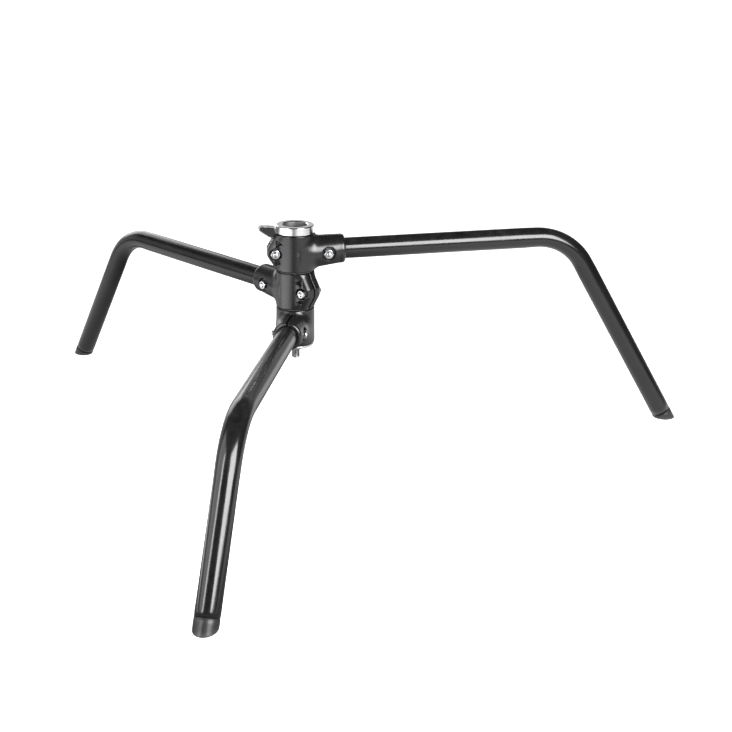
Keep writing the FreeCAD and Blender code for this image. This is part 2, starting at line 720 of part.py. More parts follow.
def riser_lever():
    """Thumb lever: a tab outside the ring, a pivot in the top collar and a nose level with the bore."""
    lever = new_body("riser_lever")
    nose = dim("receiver_radius") + dim("lever_nose_gap")
    pivot, depth = dim("lever_pivot_reach"), dim("lever_pivot_depth")
    arm = outline(lever, "lever_arm_outline", "XZ_Plane", [
        (-pivot + 2.2, -depth - 2.0), (-pivot + 2.6, -1.2), (-23.5, -1.2), (-23.9, 7.4), (-25.2, 8.4),
        (-33.0, 8.7), (-40.6, 9.3), (-42.6, 8.6), (-43.6, 6.4), (-42.6, 3.0), (-37.0, -0.6), (-31.5, -4.0),
        (-28.5, -6.0), (-24.8, -6.3), (-pivot - 2.2, -depth - 2.0)])
    pad = lever.newObject("PartDesign::Pad", "lever_arm")
    pad.Profile = arm
    pad.SideType = "Symmetric"
    bind(pad, Length="lever_width")
    low, high = dim("lever_nose_low"), dim("lever_nose_high")
    tongue = outline(lever, "lever_nose_outline", "XZ_Plane", [
        (-pivot, low), (-nose, low), (-nose, high), (-pivot, high)])
    pad = lever.newObject("PartDesign::Pad", "lever_nose")
    pad.Profile = tongue
    pad.SideType = "Symmetric"
    bind(pad, Length="lever_nose_width")
    feature(lever, "AdditiveCylinder", "lever_hub", x=-pivot, y=-dim("lever_width") / 2, z=-depth,
            axis=ALONG, angle=-90, Radius="lever_hub", Height="lever_width")
    feature(lever, "SubtractiveCylinder", "lever_pivot_hole", x=-pivot, y=-dim("lever_width"), z=-depth,
            axis=ALONG, angle=-90, Radius=dim("lever_pin_radius") + dim("running_gap"),
            Height=dim("lever_width") * 2)
    return lever


def lever_pin():
    return cylinder("lever_pin", "lever_pin_radius", dim("lever_pin_blind") + dim("lever_pin_open"),
                    x=-dim("lever_pivot_reach"), y=-dim("lever_pin_blind"), z=-dim("lever_pivot_depth"),
                    axis=ALONG, angle=-90)


def lever_spring():
    """The coil spring that lifts the tab."""
    wire = dim("spring_wire")
    height = dim("spring_foot") - dim("spring_top") - wire * 2
    helix = solid("Helix", "lever_spring_helix", Height=height, Pitch=height / dim("spring_turns"),
                  Radius="spring_radius")
    section = solid("Circle", "lever_spring_section", Radius="spring_wire")
    put(section, x="spring_radius", axis=ALONG, angle=90)
    coil = DOC.addObject("Part::Sweep", "lever_spring")
    coil.Sections = [section]
    coil.Spine = (helix, ["Edge1"])
    coil.Solid = True
    coil.Frenet = True
    return put(coil, x=-dim("spring_reach"), z=wire - dim("spring_foot"))


# Assembly

def build_level(word):
    """One leg with its collar, cap and fasteners; the parts by node name."""
    azimuth = f"azimuth_{word}"
    bore = "sleeve_radius" if word == "top" else dim("sleeve_radius") + dim("running_gap")
    casting = collar(word, bore)
    lug_pockets(casting, f"collar_{word}")
    if word == "top":
        fixed_collar_details(casting, "collar_top")
    elif word == "middle":
        stop_track(casting, "collar_middle", "stop_azimuth_top", azimuth, "middle_open", "middle_fold",
                   HALF - dim("stop_track_depth"))
    else:
        stop_track(casting, "collar_bottom", "stop_azimuth_bottom", azimuth, "bottom_fold", "bottom_open",
                   -HALF)
    parts = {f"collar_{word}": casting, f"leg_{word}": leg_tube(word), f"foot_cap_{word}": foot_cap(word)}
    for kind, reach, drop, seat, _ in cross_bolts(word):
        parts[f"{kind}_bolt_{word}"] = cross_bolt(f"{kind}_bolt_{word}", word, reach, drop, seat)
        parts[f"{kind}_nut_{word}"] = cross_nut(f"{kind}_nut_{word}", word, reach, drop, seat)
    return parts


def build_all():
    """Every sub-part by node name."""
    parts = {}
    for word in LEVELS:
        parts.update(build_level(word))
    disc_low = STACK_BOTTOM - dim("disc_height")
    washer_low = disc_low - dim("washer_height")
    parts["central_sleeve"] = central_sleeve()
    parts["top_ring"] = top_ring()
    parts["sleeve_plug"] = sleeve_plug()
    parts["retaining_disc"] = retaining_disc()
    parts["central_rod"] = central_rod()
    parts["central_washer"] = plain_washer("central_washer", "rod_hole", "washer_radius", washer_low,
                                           dim("washer_height"))
    parts["central_nut"] = thin_nut(washer_low - dim("thin_nut_height"))
    parts["friction_washer_upper"] = friction_washer("friction_washer_upper", "top", "stop_azimuth_top")
    parts["friction_washer_middle"] = friction_washer("friction_washer_middle", "middle")
    parts["friction_washer_lower"] = friction_washer("friction_washer_lower", "bottom", "stop_azimuth_bottom")
    parts["stop_pin_upper"] = stop_pin(
        "stop_pin_upper", "stop_azimuth_top", -dim("collar_height") - dim("stop_pin_proud"),
        dim("stop_pin_proud") + dim("stop_pin_grip"))
    parts["stop_pin_lower"] = stop_pin(
        "stop_pin_lower", "stop_azimuth_bottom", disc_low, dim("disc_height") + dim("stop_pin_proud"))
    parts["set_screw"] = set_screw()
    parts["riser_lever"] = riser_lever()
    parts["lever_pin"] = lever_pin()
    parts["lever_spring"] = lever_spring()
    for name, item in parts.items():
        item.Label = name
    return parts


def check_and_write(parts):
    """Stop on any failed object or bad shape, then write one file for each sub-part."""
    DOC.recompute()
    for item in DOC.Objects:
        if "Invalid" in item.State or "Error" in item.State:
            raise RuntimeError(f"{item.Name} failed: {item.State}")
    for name, item in parts.items():
        shape = item.Shape
        if shape.isNull() or not shape.isValid() or not shape.Solids:
            raise RuntimeError(f"{name} has no valid solid")
    os.makedirs("parts", exist_ok=True)
    for name, item in parts.items():
        item.Shape.exportStep(f"parts/{name}.step")
        print(f"{name}: {len(item.Shape.Solids)} solid, {item.Shape.Volume / 1000:.2f} cm3")


check_and_write(build_all())
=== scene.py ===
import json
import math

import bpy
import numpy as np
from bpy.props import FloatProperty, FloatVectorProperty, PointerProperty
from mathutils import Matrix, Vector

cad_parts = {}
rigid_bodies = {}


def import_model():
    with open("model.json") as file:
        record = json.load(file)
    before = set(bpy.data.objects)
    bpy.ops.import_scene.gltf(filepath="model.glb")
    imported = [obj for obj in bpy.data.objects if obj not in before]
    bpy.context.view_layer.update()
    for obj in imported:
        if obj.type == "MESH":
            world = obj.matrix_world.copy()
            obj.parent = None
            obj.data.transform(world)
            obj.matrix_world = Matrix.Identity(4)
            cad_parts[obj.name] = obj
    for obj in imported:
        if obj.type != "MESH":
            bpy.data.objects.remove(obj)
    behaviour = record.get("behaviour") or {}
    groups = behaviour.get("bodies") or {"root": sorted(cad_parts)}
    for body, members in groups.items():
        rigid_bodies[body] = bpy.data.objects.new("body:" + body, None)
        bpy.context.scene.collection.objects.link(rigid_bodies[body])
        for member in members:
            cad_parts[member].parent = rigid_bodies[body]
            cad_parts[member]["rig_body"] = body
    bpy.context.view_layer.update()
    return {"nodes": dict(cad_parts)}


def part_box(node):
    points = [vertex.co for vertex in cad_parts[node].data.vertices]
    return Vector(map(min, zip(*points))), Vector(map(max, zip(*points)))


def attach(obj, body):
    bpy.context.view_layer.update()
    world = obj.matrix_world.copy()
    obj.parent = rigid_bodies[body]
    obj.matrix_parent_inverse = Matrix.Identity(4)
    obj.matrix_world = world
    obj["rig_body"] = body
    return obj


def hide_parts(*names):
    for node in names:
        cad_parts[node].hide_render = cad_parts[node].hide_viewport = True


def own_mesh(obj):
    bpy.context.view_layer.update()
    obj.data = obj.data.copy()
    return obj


bl_info = {
    "name": "Low Light Stand Base",
    "version": (1, 0, 0),
    "blender": (4, 5, 0),
    "location": "3D View > Sidebar > Stand Base",
    "description": "Builds the visible surfaces of a low three-legged light stand base "
                   "round its packed frame",
    "category": "Object",
}

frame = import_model()
NODES = frame["nodes"]

MM = 0.001
LEVELS = ("top", "middle", "bottom")


# Sizes and colours that a user would change

def length_setting(name, description, millimetres):
    """A length, given in millimetres."""
    return FloatProperty(name=name, description=description, default=millimetres * MM, unit="LENGTH",
                         precision=5)


def angle_setting(name, description, degrees):
    """An angle, given in degrees."""
    return FloatProperty(name=name, description=description, default=math.radians(degrees), subtype="ANGLE")


def leg_angles(name, description, degrees):
    """One angle for each leg from the top one down, given in degrees."""
    return FloatVectorProperty(name=name, description=description, default=[math.radians(d) for d in degrees],
                               unit="ROTATION")


def colour_setting(name, description, default):
    """A finish's colour."""
    return FloatVectorProperty(name=name, description=description, default=default, subtype="COLOR", min=0.0,
                               max=1.0)


def power_setting(name, description, watts):
    """A light's power."""
    return FloatProperty(name=name, description=description, default=watts, unit="POWER")


def glow_setting(name, description, default):
    """A brightness, 1 for white."""
    return FloatProperty(name=name, description=description, default=default, min=0.0)


class LegSizes(bpy.types.PropertyGroup):
    """The bent tube legs and their foot caps."""

    tube_radius: length_setting("Tube radius", "Outer radius of a leg tube", 12.5)
    tube_wall: length_setting("Tube wall", "Wall thickness of a leg tube", 1.6)
    azimuth: leg_angles("Azimuths", "Directions of the top, middle and bottom legs", (0.0, 125.9, -106.9))
    rise: leg_angles("Rises", "Upward tilt of the top, middle and bottom legs' top runs", (1.4, 0.6, 1.8))
    roll: leg_angles("Rolls", "Turn of the top, middle and bottom tubes in their sockets", (0.3, 2.4, -2.8))
    turn: angle_setting("Turn", "How far the bend turns the tube downwards", 60.1)
    bend_radius: length_setting("Bend radius", "Radius of the bend at the tube's centre line", 72.0)
    corner_slant: length_setting("Corner slant",
                                 "From the sleeve's axis to where the two runs would meet", 340.3)
    tube_start: length_setting("Tube start", "Inner end of a tube, from the sleeve's axis", 25.0)
    cap_length: length_setting("Cap length", "Foot cap beyond the tube's end, along its centre line", 11.0)
    flattening: FloatProperty(
        name="Flattening", description="Share by which the bend flattens the tube's section",
        default=0.055, min=0.0, max=0.2, subtype="FACTOR")


class CollarSizes(bpy.types.PropertyGroup):
    """The cast clamp collars."""

    radius: length_setting("Barrel radius", "Outer radius of a collar's barrel", 23.2)
    height: length_setting("Height", "Height of a collar", 44.6)
    gap: length_setting("Gap", "Room for the friction washer between two collars", 0.8)
    bore: length_setting("Bore", "Radius of the bore round the sleeve", 17.05)
    socket_radius: length_setting("Socket radius", "Outer radius of the leg socket", 17.5)
    socket_reach: length_setting("Socket reach", "From the sleeve's axis to the socket's mouth", 59.4)
    lug_reach: length_setting("Lug reach", "From the sleeve's axis to the tips of the clamp lugs", 33.5)
    lug_half: length_setting("Lug half width", "Half the width over both clamp lugs", 14.5)
    blend: length_setting("Blend", "Size of the soft fillet between barrel and socket", 7.0)
    grain: length_setting("Mesh grain",
                          "Edge of the grid cells that a casting's surface is worked out on", 0.58)


class FastenerSizes(bpy.types.PropertyGroup):
    """The cross bolts and their nuts."""

    bolt_radius: length_setting("Bolt radius", "Outer radius of a bolt's thread", 3.0)
    pitch: length_setting("Pitch", "Pitch of a bolt's thread", 1.0)
    head_radius: length_setting("Head radius", "Radius of a bolt's head", 5.0)
    head_height: length_setting("Head height", "Height of a bolt's head", 6.0)
    nut_corner: length_setting("Nut corner radius", "From a nut's axis to its corners", 5.77)
    nut_height: length_setting("Nut height", "Height of a nut", 5.0)
    bolt_end: length_setting("Bolt end", "How far a bolt stands out of its nut", 3.2)


class HubSizes(bpy.types.PropertyGroup):
    """The turned pieces of the hub and the lever."""

    receiver_radius: length_setting("Receiver radius", "Radius of the bore that takes the riser", 14.4)
    sleeve_radius: length_setting("Sleeve radius", "Outer radius of the central sleeve", 17.0)
    ring_radius: length_setting("Ring radius", "Outer radius of the bright ring", 22.95)
    ring_height: length_setting("Ring height", "Height of the bright ring", 10.0)
    disc_radius: length_setting("Disc radius", "Radius of the disc under the lowest collar", 21.5)
    rod_radius: length_setting("Rod radius", "Outer radius of the central rod's thread", 5.0)
    rod_pitch: length_setting("Rod pitch", "Pitch of the central rod's thread", 1.5)
    lever_width: length_setting("Lever width", "Width of the thumb lever", 7.0)


class FinishColours(bpy.types.PropertyGroup):
    """The colours of the finishes."""

    leg_paint: colour_setting("Leg paint", "Gloss black of the tubes", (0.006, 0.006, 0.0065))
    collar_coat: colour_setting("Collar coat", "Satin black of the castings", (0.0065, 0.0065, 0.007))
    cap_rubber: colour_setting("Cap rubber", "Dark grey of the foot caps", (0.02, 0.02, 0.021))
    zinc: colour_setting("Zinc", "Bright plating of the bolts and nuts", (0.6, 0.61, 0.63))
    steel: colour_setting("Steel", "Bare turned steel", (0.62, 0.62, 0.63))
    polish: colour_setting("Polished steel", "The bright ring", (0.86, 0.86, 0.87))


class StudioSettings(bpy.types.PropertyGroup):
    """Camera and light."""

    lens: FloatProperty(name="Lens", description="Focal length of the camera in millimetres", default=58.33,
                        min=1.0)
    yaw: angle_setting("Yaw", "Turn of the camera to the right of +Y", 10.61)
    pitch: angle_setting("Pitch", "How far the camera looks down", 20.1)
    tilt: angle_setting("Tilt", "Turn of the camera about its own axis", 0.88)
    key_power: power_setting("Key light", "Power of the front right light", 58.0)
    fill_power: power_setting("Fill light", "Power of the wide left light", 17.0)
    strip_power: power_setting("Strip light", "Power of the narrow left light", 10.0)
    rim_power: power_setting("Rim light", "Power of the light behind on the left", 8.0)
    surround: glow_setting("Surround", "Brightness of the room as the object sees it", 0.02)
    low_band: glow_setting("Low band",
                           "Brightness of the room's low back walls as the object sees them", 0.6)
    floor_left: glow_setting("Floor left",
                             "Glow of the floor left of the camera as the object sees it", 3.8)
    floor_right: glow_setting("Floor right",
                              "Glow of the floor right of the camera as the object sees it", 0.9)


# Meshes from arrays

def outward(points, quads, triangles):
    """Turns the faces over if the volume that they close, the sum over triangles of a . (b x c) / 6, is
    negative."""
    corners = np.concatenate([quads[:, :3], quads[:, [0, 2, 3]], triangles])
    a, b, c = (points[corners[:, index]] for index in range(3))
    if np.sum(a * np.cross(b, c)) < 0:
        return quads[:, ::-1], triangles[:, ::-1]
    return quads, triangles


def new_piece(name, points, quads, triangles=None, edge=None):
    """A mesh object at the origin from an array of points and arrays of four-sided and three-sided faces.
    The edge array, where there is one, becomes an attribute that the worn finishes read."""
    triangles = np.zeros((0, 3), int) if triangles is None else triangles
    quads, triangles = outward(points, quads, triangles)
    mesh = bpy.data.meshes.new(name)
    mesh.vertices.add(len(points))
    mesh.vertices.foreach_set("co", points.astype(np.float32).ravel())
    corners = np.concatenate([quads.ravel(), triangles.ravel()])
    mesh.loops.add(len(corners))
    mesh.loops.foreach_set("vertex_index", corners.astype(np.int32))
    starts = np.concatenate([np.arange(len(quads)) * 4, quads.size + np.arange(len(triangles)) * 3])
    mesh.polygons.add(len(starts))
    mesh.polygons.foreach_set("loop_start", starts.astype(np.int32))
    mesh.update(calc_edges=True)
    mesh.validate()
    mesh.shade_smooth()
    if edge is not None:
        layer = mesh.attributes.new("edge", "FLOAT", "POINT")
        layer.data.foreach_set("value", edge.astype(np.float32))
    piece = bpy.data.objects.new(name, mesh)
    bpy.context.scene.collection.objects.link(piece)
    return piece


def settle(piece, node, finish):
    """The piece gets its finish, stands for a frame node and moves with its body."""
    piece.data.materials.append(finish_of(finish))
    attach(piece, NODES[node]["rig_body"])
    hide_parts(node)


def grid_quads(rows, columns, closed=False):
    """Quads of a grid whose last column joins its first, and whose last row joins its first if closed."""
    row, column = np.meshgrid(np.arange(rows if closed else rows - 1), np.arange(columns), indexing="ij")
    here, after = row * columns, (row + 1) % rows * columns
    beside = (column + 1) % columns
    return np.stack((here + column, here + beside, after + beside, after + column), axis=-1).reshape(-1, 4)


def capped_piece(name, points, columns, poles):
    """A piece from a grid of points whose first and last rows each close in a fan of triangles on a pole."""
    rows = len(points) // columns
    column = np.arange(columns)
    beside = (column + 1) % columns
    low, high, last = len(points), len(points) + 1, (rows - 1) * columns
    first_fan = np.stack([np.full(columns, low), beside, column], axis=-1)
    last_fan = np.stack([np.full(columns, high), last + column, last + beside], axis=-1)
    return new_piece(name, np.concatenate([points, poles]), grid_quads(rows, columns),
                     np.concatenate([first_fan, last_fan]))


def around(columns):
    """Angles once round, without the last."""
    return np.linspace(0, math.tau, columns, endpoint=False)


def spun_points(radius, height, columns):
    """Points at (r cos a, r sin a, h), for r and h in a column, or by row and column where a section
    isn't round."""
    turn = around(columns)
    parts = np.broadcast_arrays(radius * np.cos(turn), radius * np.sin(turn), height)
    return np.stack(parts, axis=-1).reshape(-1, 3)


def softened(corners, radius):
    """An outline whose inner corners are quadratic curves that start and end a radius away, with a point
    just outside each curve so that the flats beside it shade flat."""
    steps, guard, longest = 4, 0.15, 0.45
    points = np.array(corners, float)
    before, corner, after = points[:-2], points[1:-1], points[2:]
    side_back = np.linalg.norm(before - corner, axis=1)[:, None]
    side_ahead = np.linalg.norm(after - corner, axis=1)[:, None]
    reach = np.minimum(radius, longest * np.minimum(side_back, side_ahead))
    back, ahead = (before - corner) / side_back, (after - corner) / side_ahead
    start, end = corner + back * reach, corner + ahead * reach
    share = np.linspace(0, 1, steps + 1)[None, :, None]
    curve = (start[:, None] * (1 - share) ** 2 + corner[:, None] * 2 * share * (1 - share)
             + end[:, None] * share ** 2)
    guards = [(place + way * reach * guard)[:, None] for place, way in ((start, back), (end, ahead))]
    rows = np.concatenate([guards[0], curve, guards[1]], axis=1)
    return np.concatenate([points[:1], rows.reshape(-1, 2), points[-1:]])


def spun_ring(name, corners, soft, columns):
    """A ring turned about the sleeve's axis from a closed outline of (radius, height) with soft corners."""
    profile = softened(corners, soft)
    points = spun_points(profile[:, :1], profile[:, 1:], columns)
    return new_piece(name, points, grid_quads(len(profile), columns, closed=True))


def turned_rows(rows, columns):
    """Arrays of radius and height from rows of (radius, height), each one number or one for each column."""
    return [np.array([np.broadcast_to(part, columns) for part in parts]) for parts in zip(*rows)]


def threaded_piece(name, head, spiral, tail, poles, columns, place):
    """A turned piece about its own Z axis from the rows of its head, its thread and its tail, with a pole
    at each end."""
    parts = zip(turned_rows(head, columns), spiral, turned_rows(tail, columns))
    radius, height = (np.concatenate(part) for part in parts)
    points = placed(spun_points(radius, height, columns), place)
    return capped_piece(name, points, columns, placed(np.array([[0, 0, pole] for pole in poles]), place))


def placed(points, place):
    """Points moved by a 4 x 4 matrix."""
    matrix = np.array(place, float)
    return points @ matrix[:3, :3].T + matrix[:3, 3]


def hexagon(corner, columns):
    """Polar radius of a hexagon with slightly rounded corners: the flats' distance divided by the power
    mean of the cosines to the six flats' directions."""
    sharpness = 60.0
    flats = np.arange(6) * math.tau / 6 + math.tau / 12
    towards = np.clip(np.cos(around(columns)[:, None] - flats), 0, None)
    flat = corner * math.cos(math.tau / 12)
    return flat / np.sum(towards ** sharpness, axis=1) ** (1 / sharpness)


def thread(radius, pitch, start, end, columns, steps=8):
    """Rows of radius and height of a screw thread: a triangle wave of the height less the turned share of
    a pitch, 0.54 pitches deep, that fades out in the last pitch at either end."""
    depth = 0.54 * pitch
    height = np.linspace(start, end, max(2, int(abs(end - start) / pitch * steps)))
    turned = np.linspace(0, 1, columns, endpoint=False)
    phase = (height[:, None] / pitch - turned) % 1.0
    wave = np.abs(phase * 2 - 1)
    fade = np.clip(np.minimum(np.abs(height - start), np.abs(end - height)) / pitch, 0, 1)[:, None]
    return radius - depth * wave * fade, np.broadcast_to(height[:, None], phase.shape)


# Frame of a level

def collar_pitch(scene):
    """From one collar to the next."""
    return scene.stand_collars.height + scene.stand_collars.gap


def level_height(scene, word):
    """Height of a level's socket axis above the ring's seat."""
    return -(scene.stand_collars.height / 2 + collar_pitch(scene) * LEVELS.index(word))


def level_place(scene, word):
    """Turn and shift from a collar's own frame to the row frame."""
    azimuth = scene.stand_legs.azimuth[LEVELS.index(word)]
    return Matrix.Translation((0, 0, level_height(scene, word))) @ Matrix.Rotation(azimuth, 4, "Z")


def tube_place(scene, word):
    """Turn and shift from a tube's own frame, its top run along +X and its drop turned down, to the row
    frame."""
    legs, index = scene.stand_legs, LEVELS.index(word)
    return (level_place(scene, word) @ Matrix.Rotation(-legs.rise[index], 4, "Y")
            @ Matrix.Rotation(legs.roll[index], 4, "X"))


def floor_height():
    """The lowest point of the foot caps."""
    return min(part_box(f"foot_cap_{word}")[0].z for word in LEVELS)


# Shader nodes

def put(tree, socket, value):
    """Sets a socket, or links it where the value is another node's output."""
    if isinstance(value, bpy.types.NodeSocket):
        tree.links.new(value, socket)
    else:
        socket.default_value = value


def fill(tree, node, **inputs):
    """Sets or links a node's inputs by name, with an underscore for each space."""
    for key, value in inputs.items():
        put(tree, next(s for s in node.inputs if s.enabled and s.name.replace(" ", "_") == key), value)


def add_node(tree, kind, settings=None, **inputs):
    """A node with its settings and inputs."""
    node = tree.nodes.new(kind)
    for key, value in (settings or {}).items():
        setattr(node, key, value)
    fill(tree, node, **inputs)
    return node


def maths(tree, operation, *values):
    """A Math node's output."""
    node = add_node(tree, "ShaderNodeMath", {"operation": operation})
    for socket, value in zip(node.inputs, values):
        put(tree, socket, value)
    return node.outputs[0]


def vector_maths(tree, operation, output, *vectors):
    """A Vector Math node's output."""
    node = add_node(tree, "ShaderNodeVectorMath", {"operation": operation})
    for socket, vector in zip(node.inputs, vectors):
        put(tree, socket, vector)
    return node.outputs[output]


def noise(tree, vector, scale, detail, roughness):
    """A Noise Texture's value."""
    return add_node(tree, "ShaderNodeTexNoise", Vector=vector, Scale=scale, Detail=detail,
                    Roughness=roughness).outputs[0]


def ramp(tree, value, low, high, out_low=0.0, out_high=1.0):
    """A Map Range node's output, clamped."""
    return add_node(tree, "ShaderNodeMapRange", {"clamp": True}, Value=value, From_Min=low, From_Max=high,
                    To_Min=out_low, To_Max=out_high).outputs["Result"]


def between(tree, mask, at_nought, at_one):
    """A number that a mask takes from one value to another."""
    return ramp(tree, mask, 0.0, 1.0, at_nought, at_one)


def mix_colour(tree, factor, a, b):
    """A colour mix's output."""
    node = add_node(tree, "ShaderNodeMix", {"data_type": "RGBA"})
    sockets = {socket.identifier: socket for socket in (*node.inputs, *node.outputs)}
    for name, value in (("Factor_Float", factor), ("A_Color", a), ("B_Color", b)):
        put(tree, sockets[name], value)
    return sockets["Result_Color"]


def tinted(colour, share):
    """An opaque colour, lighter or darker by a share."""
    return (*(part * share for part in colour), 1.0)


def grey(value, blue=None):
    """An opaque grey, with its own blue where it is slightly warm or cold."""
    return (value, value, value if blue is None else blue, 1.0)


def two_tone(tree, mask, colour, dark, light):
    """A colour that a mask takes from one share of itself to another."""
    return mix_colour(tree, mask, tinted(colour, dark), tinted(colour, light))


def position(tree):
    """The place on the piece, in metres in the row frame."""
    return add_node(tree, "ShaderNodeTexCoord").outputs["Object"]


def parts_of(tree, vector):
    """The X, Y and Z outputs of a vector."""
    return add_node(tree, "ShaderNodeSeparateXYZ", Vector=vector).outputs


def normal(tree):
    """The surface's direction."""
    return add_node(tree, "ShaderNodeNewGeometry").outputs["Normal"]


def bump(tree, height, distance, strength):
    """A Bump node's normal from a height in units of distance."""
    node = add_node(tree, "ShaderNodeBump", Strength=strength, Distance=distance, Height=height)
    return node.outputs["Normal"]


# Shader groups, each named for its function

def new_group(name, inputs, outputs):
    """An empty shader node group of plain numbers, its inputs with their defaults."""
    group = bpy.data.node_groups.new(name, "ShaderNodeTree")
    for label, default in inputs.items():
        socket = group.interface.new_socket(label, in_out="INPUT", socket_type="NodeSocketFloat")
        socket.default_value = default
    for label in outputs:
        group.interface.new_socket(label, in_out="OUTPUT", socket_type="NodeSocketFloat")
    return group, group.nodes.new("NodeGroupInput").outputs, group.nodes.new("NodeGroupOutput")


def use_group(tree, maker, **inputs):
    """Outputs of a shared group placed in a material with its own values. It is built when it is first
    used."""
    node = tree.nodes.new("ShaderNodeGroup")
    node.node_tree = bpy.data.node_groups.get(maker.__name__) or maker()
    fill(tree, node, **inputs)
    return node.outputs


def paint_skin():
    """Gloss paint: a long soft orange peel as height, and a smear mask that dulls it here and there."""
    group, given, out = new_group("paint_skin", {"Peel Scale": 140.0, "Smear Scale": 16.0},
                                  ("Height", "Smear"))
    place = position(group)
    smear = noise(group, place, given["Smear Scale"], 5.0, 0.62)
    peel = noise(group, place, given["Peel Scale"], 2.0, 0.4)
    fill(group, out, Height=peel, Smear=ramp(group, smear, 0.42, 0.68))
    return group


def cast_grain():
    """Coated casting: fine pebbles over a slow swell, as height and as a mask of the pebbles' tops."""
    group, given, out = new_group("cast_grain", {"Pebble Scale": 1500.0, "Swell Scale": 120.0},
                                  ("Height", "Tops"))
    place = position(group)
    pebble = add_node(group, "ShaderNodeTexVoronoi", {"feature": "SMOOTH_F1"}, Vector=place,
                      Scale=given["Pebble Scale"], Smoothness=0.7, Randomness=1.0)
    tops = ramp(group, pebble.outputs["Distance"], 0.75, 0.15)
    swell = noise(group, place, given["Swell Scale"], 4.0, 0.55)
    fill(group, out, Height=maths(group, "MULTIPLY_ADD", swell, 1.3, tops), Tops=tops)
    return group


def edge_wear():
    """Rubbed edges: the mesh's own edge attribute, broken up by noise, as a mask of bare places, and a mask
    of creases for painted shade."""
    group, given, out = new_group("edge_wear", {"Amount": 0.5, "Break Scale": 260.0}, ("Worn", "Crease"))
    edge = add_node(group, "ShaderNodeAttribute", {"attribute_name": "edge"}).outputs["Fac"]
    broken = noise(group, position(group), given["Break Scale"], 6.0, 0.65)
    mark = maths(group, "ADD", maths(group, "MULTIPLY", edge, given["Amount"]), broken)
    # the second mask marks the creases for painted shade
    fill(group, out, Worn=ramp(group, mark, 0.98, 1.2), Crease=ramp(group, edge, -0.2, -1.0))
    return group


def settled_dust():
    """Dust: the share of the surface that faces up, times a soft noise."""
    group, given, out = new_group("settled_dust", {"Amount": 0.3}, ("Dust",))
    up = ramp(group, parts_of(group, normal(group))["Z"], 0.35, 1.0)
    patch = ramp(group, noise(group, position(group), 95.0, 7.0, 0.7), 0.4, 0.75)
    fill(group, out, Dust=maths(group, "MULTIPLY", maths(group, "MULTIPLY", up, patch), given["Amount"]))
    return group


def turning_marks():
    """Lathe marks: noise that runs quickly along the piece's axis and its radius, and hardly at all round
    it."""
    group, given, out = new_group("turning_marks", {"Mark Scale": 9000.0}, ("Height", "Streak"))
    parts = parts_of(group, position(group))
    squares = [maths(group, "MULTIPLY", parts[key], parts[key]) for key in ("X", "Y")]
    across = maths(group, "SQRT", maths(group, "ADD", *squares))
    path = add_node(group, "ShaderNodeCombineXYZ", X=across, Y=parts["Z"], Z=0.0)
    marks = noise(group, path.outputs["Vector"], given["Mark Scale"], 3.0, 0.6)
    fill(group, out, Height=marks, Streak=ramp(group, marks, 0.35, 0.7))
    return group


def plated_skin():
    """Plated steel: small spangles of lighter and darker metal, and fine pits as height."""
    group, given, out = new_group("plated_skin", {"Spangle Scale": 900.0}, ("Spangle", "Height"))
    place = position(group)
    cells = add_node(group, "ShaderNodeTexVoronoi", Vector=place, Scale=given["Spangle Scale"])
    shade = add_node(group, "ShaderNodeSeparateColor", Color=cells.outputs["Color"])
    fill(group, out, Spangle=shade.outputs["Red"], Height=noise(group, place, 4200.0, 4.0, 0.6))
    return group


# Finishes

DUST = grey(0.3, 0.29)


def start_material(name, **inputs):
    """A material with a Principled BSDF whose plain inputs are set."""
    material = bpy.data.materials.new(name)
    material.use_nodes = True
    tree = material.node_tree
    shader = next(n for n in tree.nodes if n.type == "BSDF_PRINCIPLED")
    fill(tree, shader, **inputs)
    return tree, shader


def leg_paint(name, colour):
    """Gloss black paint on the tubes, slightly uneven, with faint dust on top."""
    tree, shader = start_material(name, IOR=1.5, Specular_IOR_Level=0.5)
    skin = use_group(tree, paint_skin, Peel_Scale=170.0, Smear_Scale=22.0)
    dust = use_group(tree, settled_dust, Amount=0.05)["Dust"]
    base = two_tone(tree, skin["Smear"], colour, 1.0, 1.35)
    fill(tree, shader, Base_Color=mix_colour(tree, dust, base, grey(0.3)),
         Roughness=between(tree, skin["Smear"], 0.16, 0.21),
         Normal=bump(tree, skin["Height"], 0.02 * MM, 0.6))


def collar_coat(name, colour):
    """Satin black coat on a casting, with a fine grain and rubbed edges, and painted shade: reflection turned
    down in the creases, and near-black colour without reflection in the seams between the collars. The seams'
    shade is a fall of the height's distance to the nearest middle of a gap."""
    tree, shader = start_material(name, IOR=1.5)
    grain = use_group(tree, cast_grain, Pebble_Scale=1700.0, Swell_Scale=140.0)
    wear = use_group(tree, edge_wear, Amount=0.3, Break_Scale=420.0)
    dust = use_group(tree, settled_dust, Amount=0.03)["Dust"]
    scene = bpy.context.scene
    from_gap = maths(tree, "ADD", parts_of(tree, position(tree))["Z"],
                     scene.stand_collars.height + scene.stand_collars.gap / 2)
    # painted shade: the seams between the collars go near-black
    seam_shade = ramp(tree, maths(tree, "PINGPONG", from_gap, collar_pitch(scene) / 2), 1.5 * MM, 1.0 * MM)
    coat = two_tone(tree, grain["Tops"], colour, 0.8, 1.25)
    worn = mix_colour(tree, wear["Worn"], coat, grey(0.06, 0.062))
    dusty = mix_colour(tree, dust, worn, DUST)
    # painted shade: the seams and the creases lose most of their reflection
    dull = maths(tree, "MAXIMUM", seam_shade, wear["Crease"])
    fill(tree, shader, Base_Color=mix_colour(tree, seam_shade, dusty, grey(0.001)),
         Specular_IOR_Level=between(tree, dull, 0.55, 0.04),
         Roughness=between(tree, grain["Tops"], 0.3, 0.22),
         Normal=bump(tree, grain["Height"], 0.03 * MM, 0.5))


